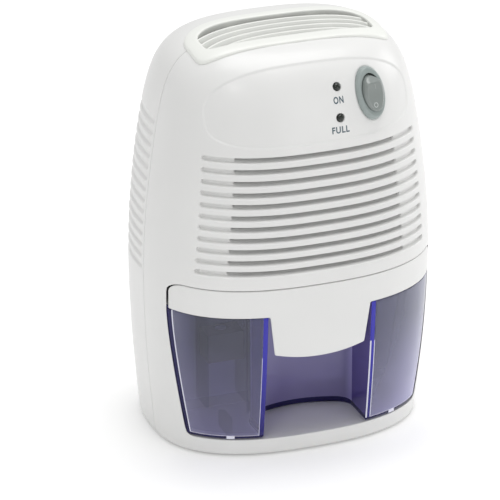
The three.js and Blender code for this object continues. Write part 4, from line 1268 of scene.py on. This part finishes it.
def make_rocker():
    def on_face(flat, height):
        """Places over the rocker's face, at a height above it."""
        return rocker_place(np.column_stack([flat, rocker_height(*flat.T) + height]))

    foot = oval(ROCKER_HALF_WIDTH, FACE_HALF_LENGTH + 1.0)
    rings = [rocker_place(np.column_stack([foot, np.full(len(foot), out)])) for out in (-3.4, 0.0)]
    face = [(1.0, -0.5), (0.995, -0.2), (0.98, -0.03)]
    face += [(share, 0) for share in np.linspace(0.955, 0.015, 30)]
    for share, height in face:
        rings.append(on_face(oval(ROCKER_HALF_WIDTH * share, FACE_HALF_LENGTH * share), height))
    shape = Shape().loft(rings)

    sunk, proud = -0.1, 0.06  # the marks' under and upper sides
    middle, radius, line = (-0.9, -5.7), 1.12, 0.2
    corners = ((radius - line, sunk), (radius + line, sunk), (radius + line, proud), (radius - line, proud))
    shape.loft([on_face(circle(size, 40) + middle, height) for size, height in corners], 1, closed=True)
    bar = rectangle(-0.17, 0.17, 2.6, 5.0)
    shape.loft([on_face(bar, height) for height in (sunk, proud)], 2)
    cap = shape.object("rocker_cap", "rocker_grey", "switch_mark", "switch_faint_mark")
    piece(cap, "rocker", "switch_slate", "power_rocker")


def make_lamps():
    profile = [(0, -6.5), (2.4, -6.5), (2.4, -WALL - 2), (LED_RADIUS, -WALL - 2)]
    for turn in np.linspace(0, math.pi / 2, 9):
        profile.append((LED_RADIUS * math.cos(turn), -1.1 + 1.62 * math.sin(turn)))
    for name, node, height in (("lamp_on", "led_on", LED_ON_Z), ("lamp_full", "led_full", LED_FULL_Z)):
        shape = Shape().loft(turned(profile, 36, LED_SEATS[height].world))
        piece(shape.object(name, "lamp_dark", sharp=60), "housing", "lamp_dark", node)


def make_label(name, words, x, z, width, height):
    """Flat lettering that follows the recessed control panel."""
    curve = bpy.data.curves.new(name, "FONT")
    curve.body = words
    curve.align_x, curve.align_y = "CENTER", "CENTER"
    curve.offset = 0.028
    curve.space_character = 1.16
    curve.extrude = 0.02
    source = new_object(name + "_source", curve)
    bpy.context.view_layer.update()
    mesh = bpy.data.meshes.new_from_object(source.evaluated_get(bpy.context.evaluated_depsgraph_get()))
    bpy.data.objects.remove(source)
    flat = np.array([vert.co for vert in mesh.vertices])
    low, high = flat.min(axis=0), flat.max(axis=0)
    flat = (flat - (low + high) / 2) / (high - low) * (width, height, 0.08)
    points = Seat(x, z, *slope_at(x, z)).world(flat * (1, 1, 0))
    points[:, 1] = front_face(points[:, 0], points[:, 2])
    points = points - body_normal(points) * (PANEL_DEPTH - flat[:, 2:3] - 0.01)
    mesh.vertices.foreach_set("co", (points * MM).ravel())
    mesh.materials.clear()
    mesh.materials.append(LOOKS["label_ink"])
    mesh.update()
    piece(new_object(name, mesh), "housing", "switch_slate")


# ---- the CAD's own pieces -------------------------------------------------------------------
def finish_nodes():
    """Gives every CAD node the look of its slot and softens its edges."""
    for entry in frame["record"]["subparts"]:
        thing = frame["nodes"][entry["node"]]
        thing.data.materials.clear()
        thing.data.materials.append(LOOKS[entry["material_slot"]])
        soften = thing.modifiers.new("soft edges", "BEVEL")
        soften.width = 0.25 * MM
        soften.segments = 2
        soften.limit_method = "ANGLE"
        soften.angle_limit = math.radians(40)


# ---- stage ----------------------------------------------------------------------------------
def make_stage():
    tree, shader = new_material("pale_floor")
    set_inputs(tree, shader, {
        "Base Color": tint(tree, noise(tree, 2.0), (0.93, 0.93, 0.93), (0.95, 0.95, 0.95)),
        "Roughness": 0.6,
        "Emission Color": (1, 1, 1, 1),
        "Emission Strength": 0.13,
    })
    size = 6.0
    corners = [(-size, -size, 0), (size, -size, 0), (size, size, 0), (-size, size, 0)]
    mesh = bpy.data.meshes.new("floor")
    mesh.from_pydata(corners, [], [(0, 1, 2, 3)])
    mesh.materials.append(LOOKS["pale_floor"])
    new_object("floor", mesh)

    world = bpy.data.worlds.new("studio")
    world.use_nodes = True
    sky = world.node_tree.nodes["Background"]
    set_inputs(world.node_tree, sky, {"Color": (1, 1, 1, 1), "Strength": 0.565})
    bpy.context.scene.world = world
    bpy.context.scene.view_settings.view_transform = "Standard"

    for name, place, size, power in (
            ("key", (-1.2, -1.5, 1.9), 0.5, 5.0),
            ("front", (0.7, -2.2, 0.5), 1.0, 4.5),
            ("top", (0.2, 0.2, 2.2), 1.6, 26.5),
            ("right", (1.9, 0.1, 0.8), 0.9, 7.0)):
        light = bpy.data.lights.new(name, "AREA")
        light.size = size
        light.energy = power
        lamp = new_object(name, light)
        lamp.location = place
        lamp.rotation_euler = (Vector(place) - Vector((0, 0, 0.1))).to_track_quat("Z", "Y").to_euler()


def make_camera():
    azimuth, elevation, distance = math.radians(-21.115), math.radians(23.032), 2000.8
    right = Vector((math.cos(azimuth), math.sin(azimuth), 0))
    level = Vector((math.sin(azimuth), -math.cos(azimuth), 0))
    back = level * math.cos(elevation) + Vector((0, 0, math.sin(elevation)))
    middle = Vector((0, 0, HEIGHT / 2))
    place = middle + back * distance
    aside, below = 15.19, 16.16  # where the camera aims, from the middle of the object
    aim = middle - right * aside - back.cross(right) * below
    back = (place - aim).normalized()
    right = (right - back * right.dot(back)).normalized()
    data = bpy.data.cameras.new("camera")
    data.sensor_width = 36.0
    data.lens = 273.05
    data.clip_end = 20.0
    camera = new_object("camera", data)
    turn = Matrix((right, back.cross(right), back)).transposed()
    camera.matrix_world = Matrix.Translation(place * MM) @ turn.to_4x4()
    bpy.context.scene.camera = camera


make_grille()
make_tank()
make_cover()
make_bezel()
make_rocker()
make_lamps()
make_label("label_on", "ON", 12.0, 195.2, 5.6, 3.7)
make_label("label_full", "FULL", 11.85, 180.4, 9.7, 3.5)
finish_nodes()
make_stage()
make_camera()
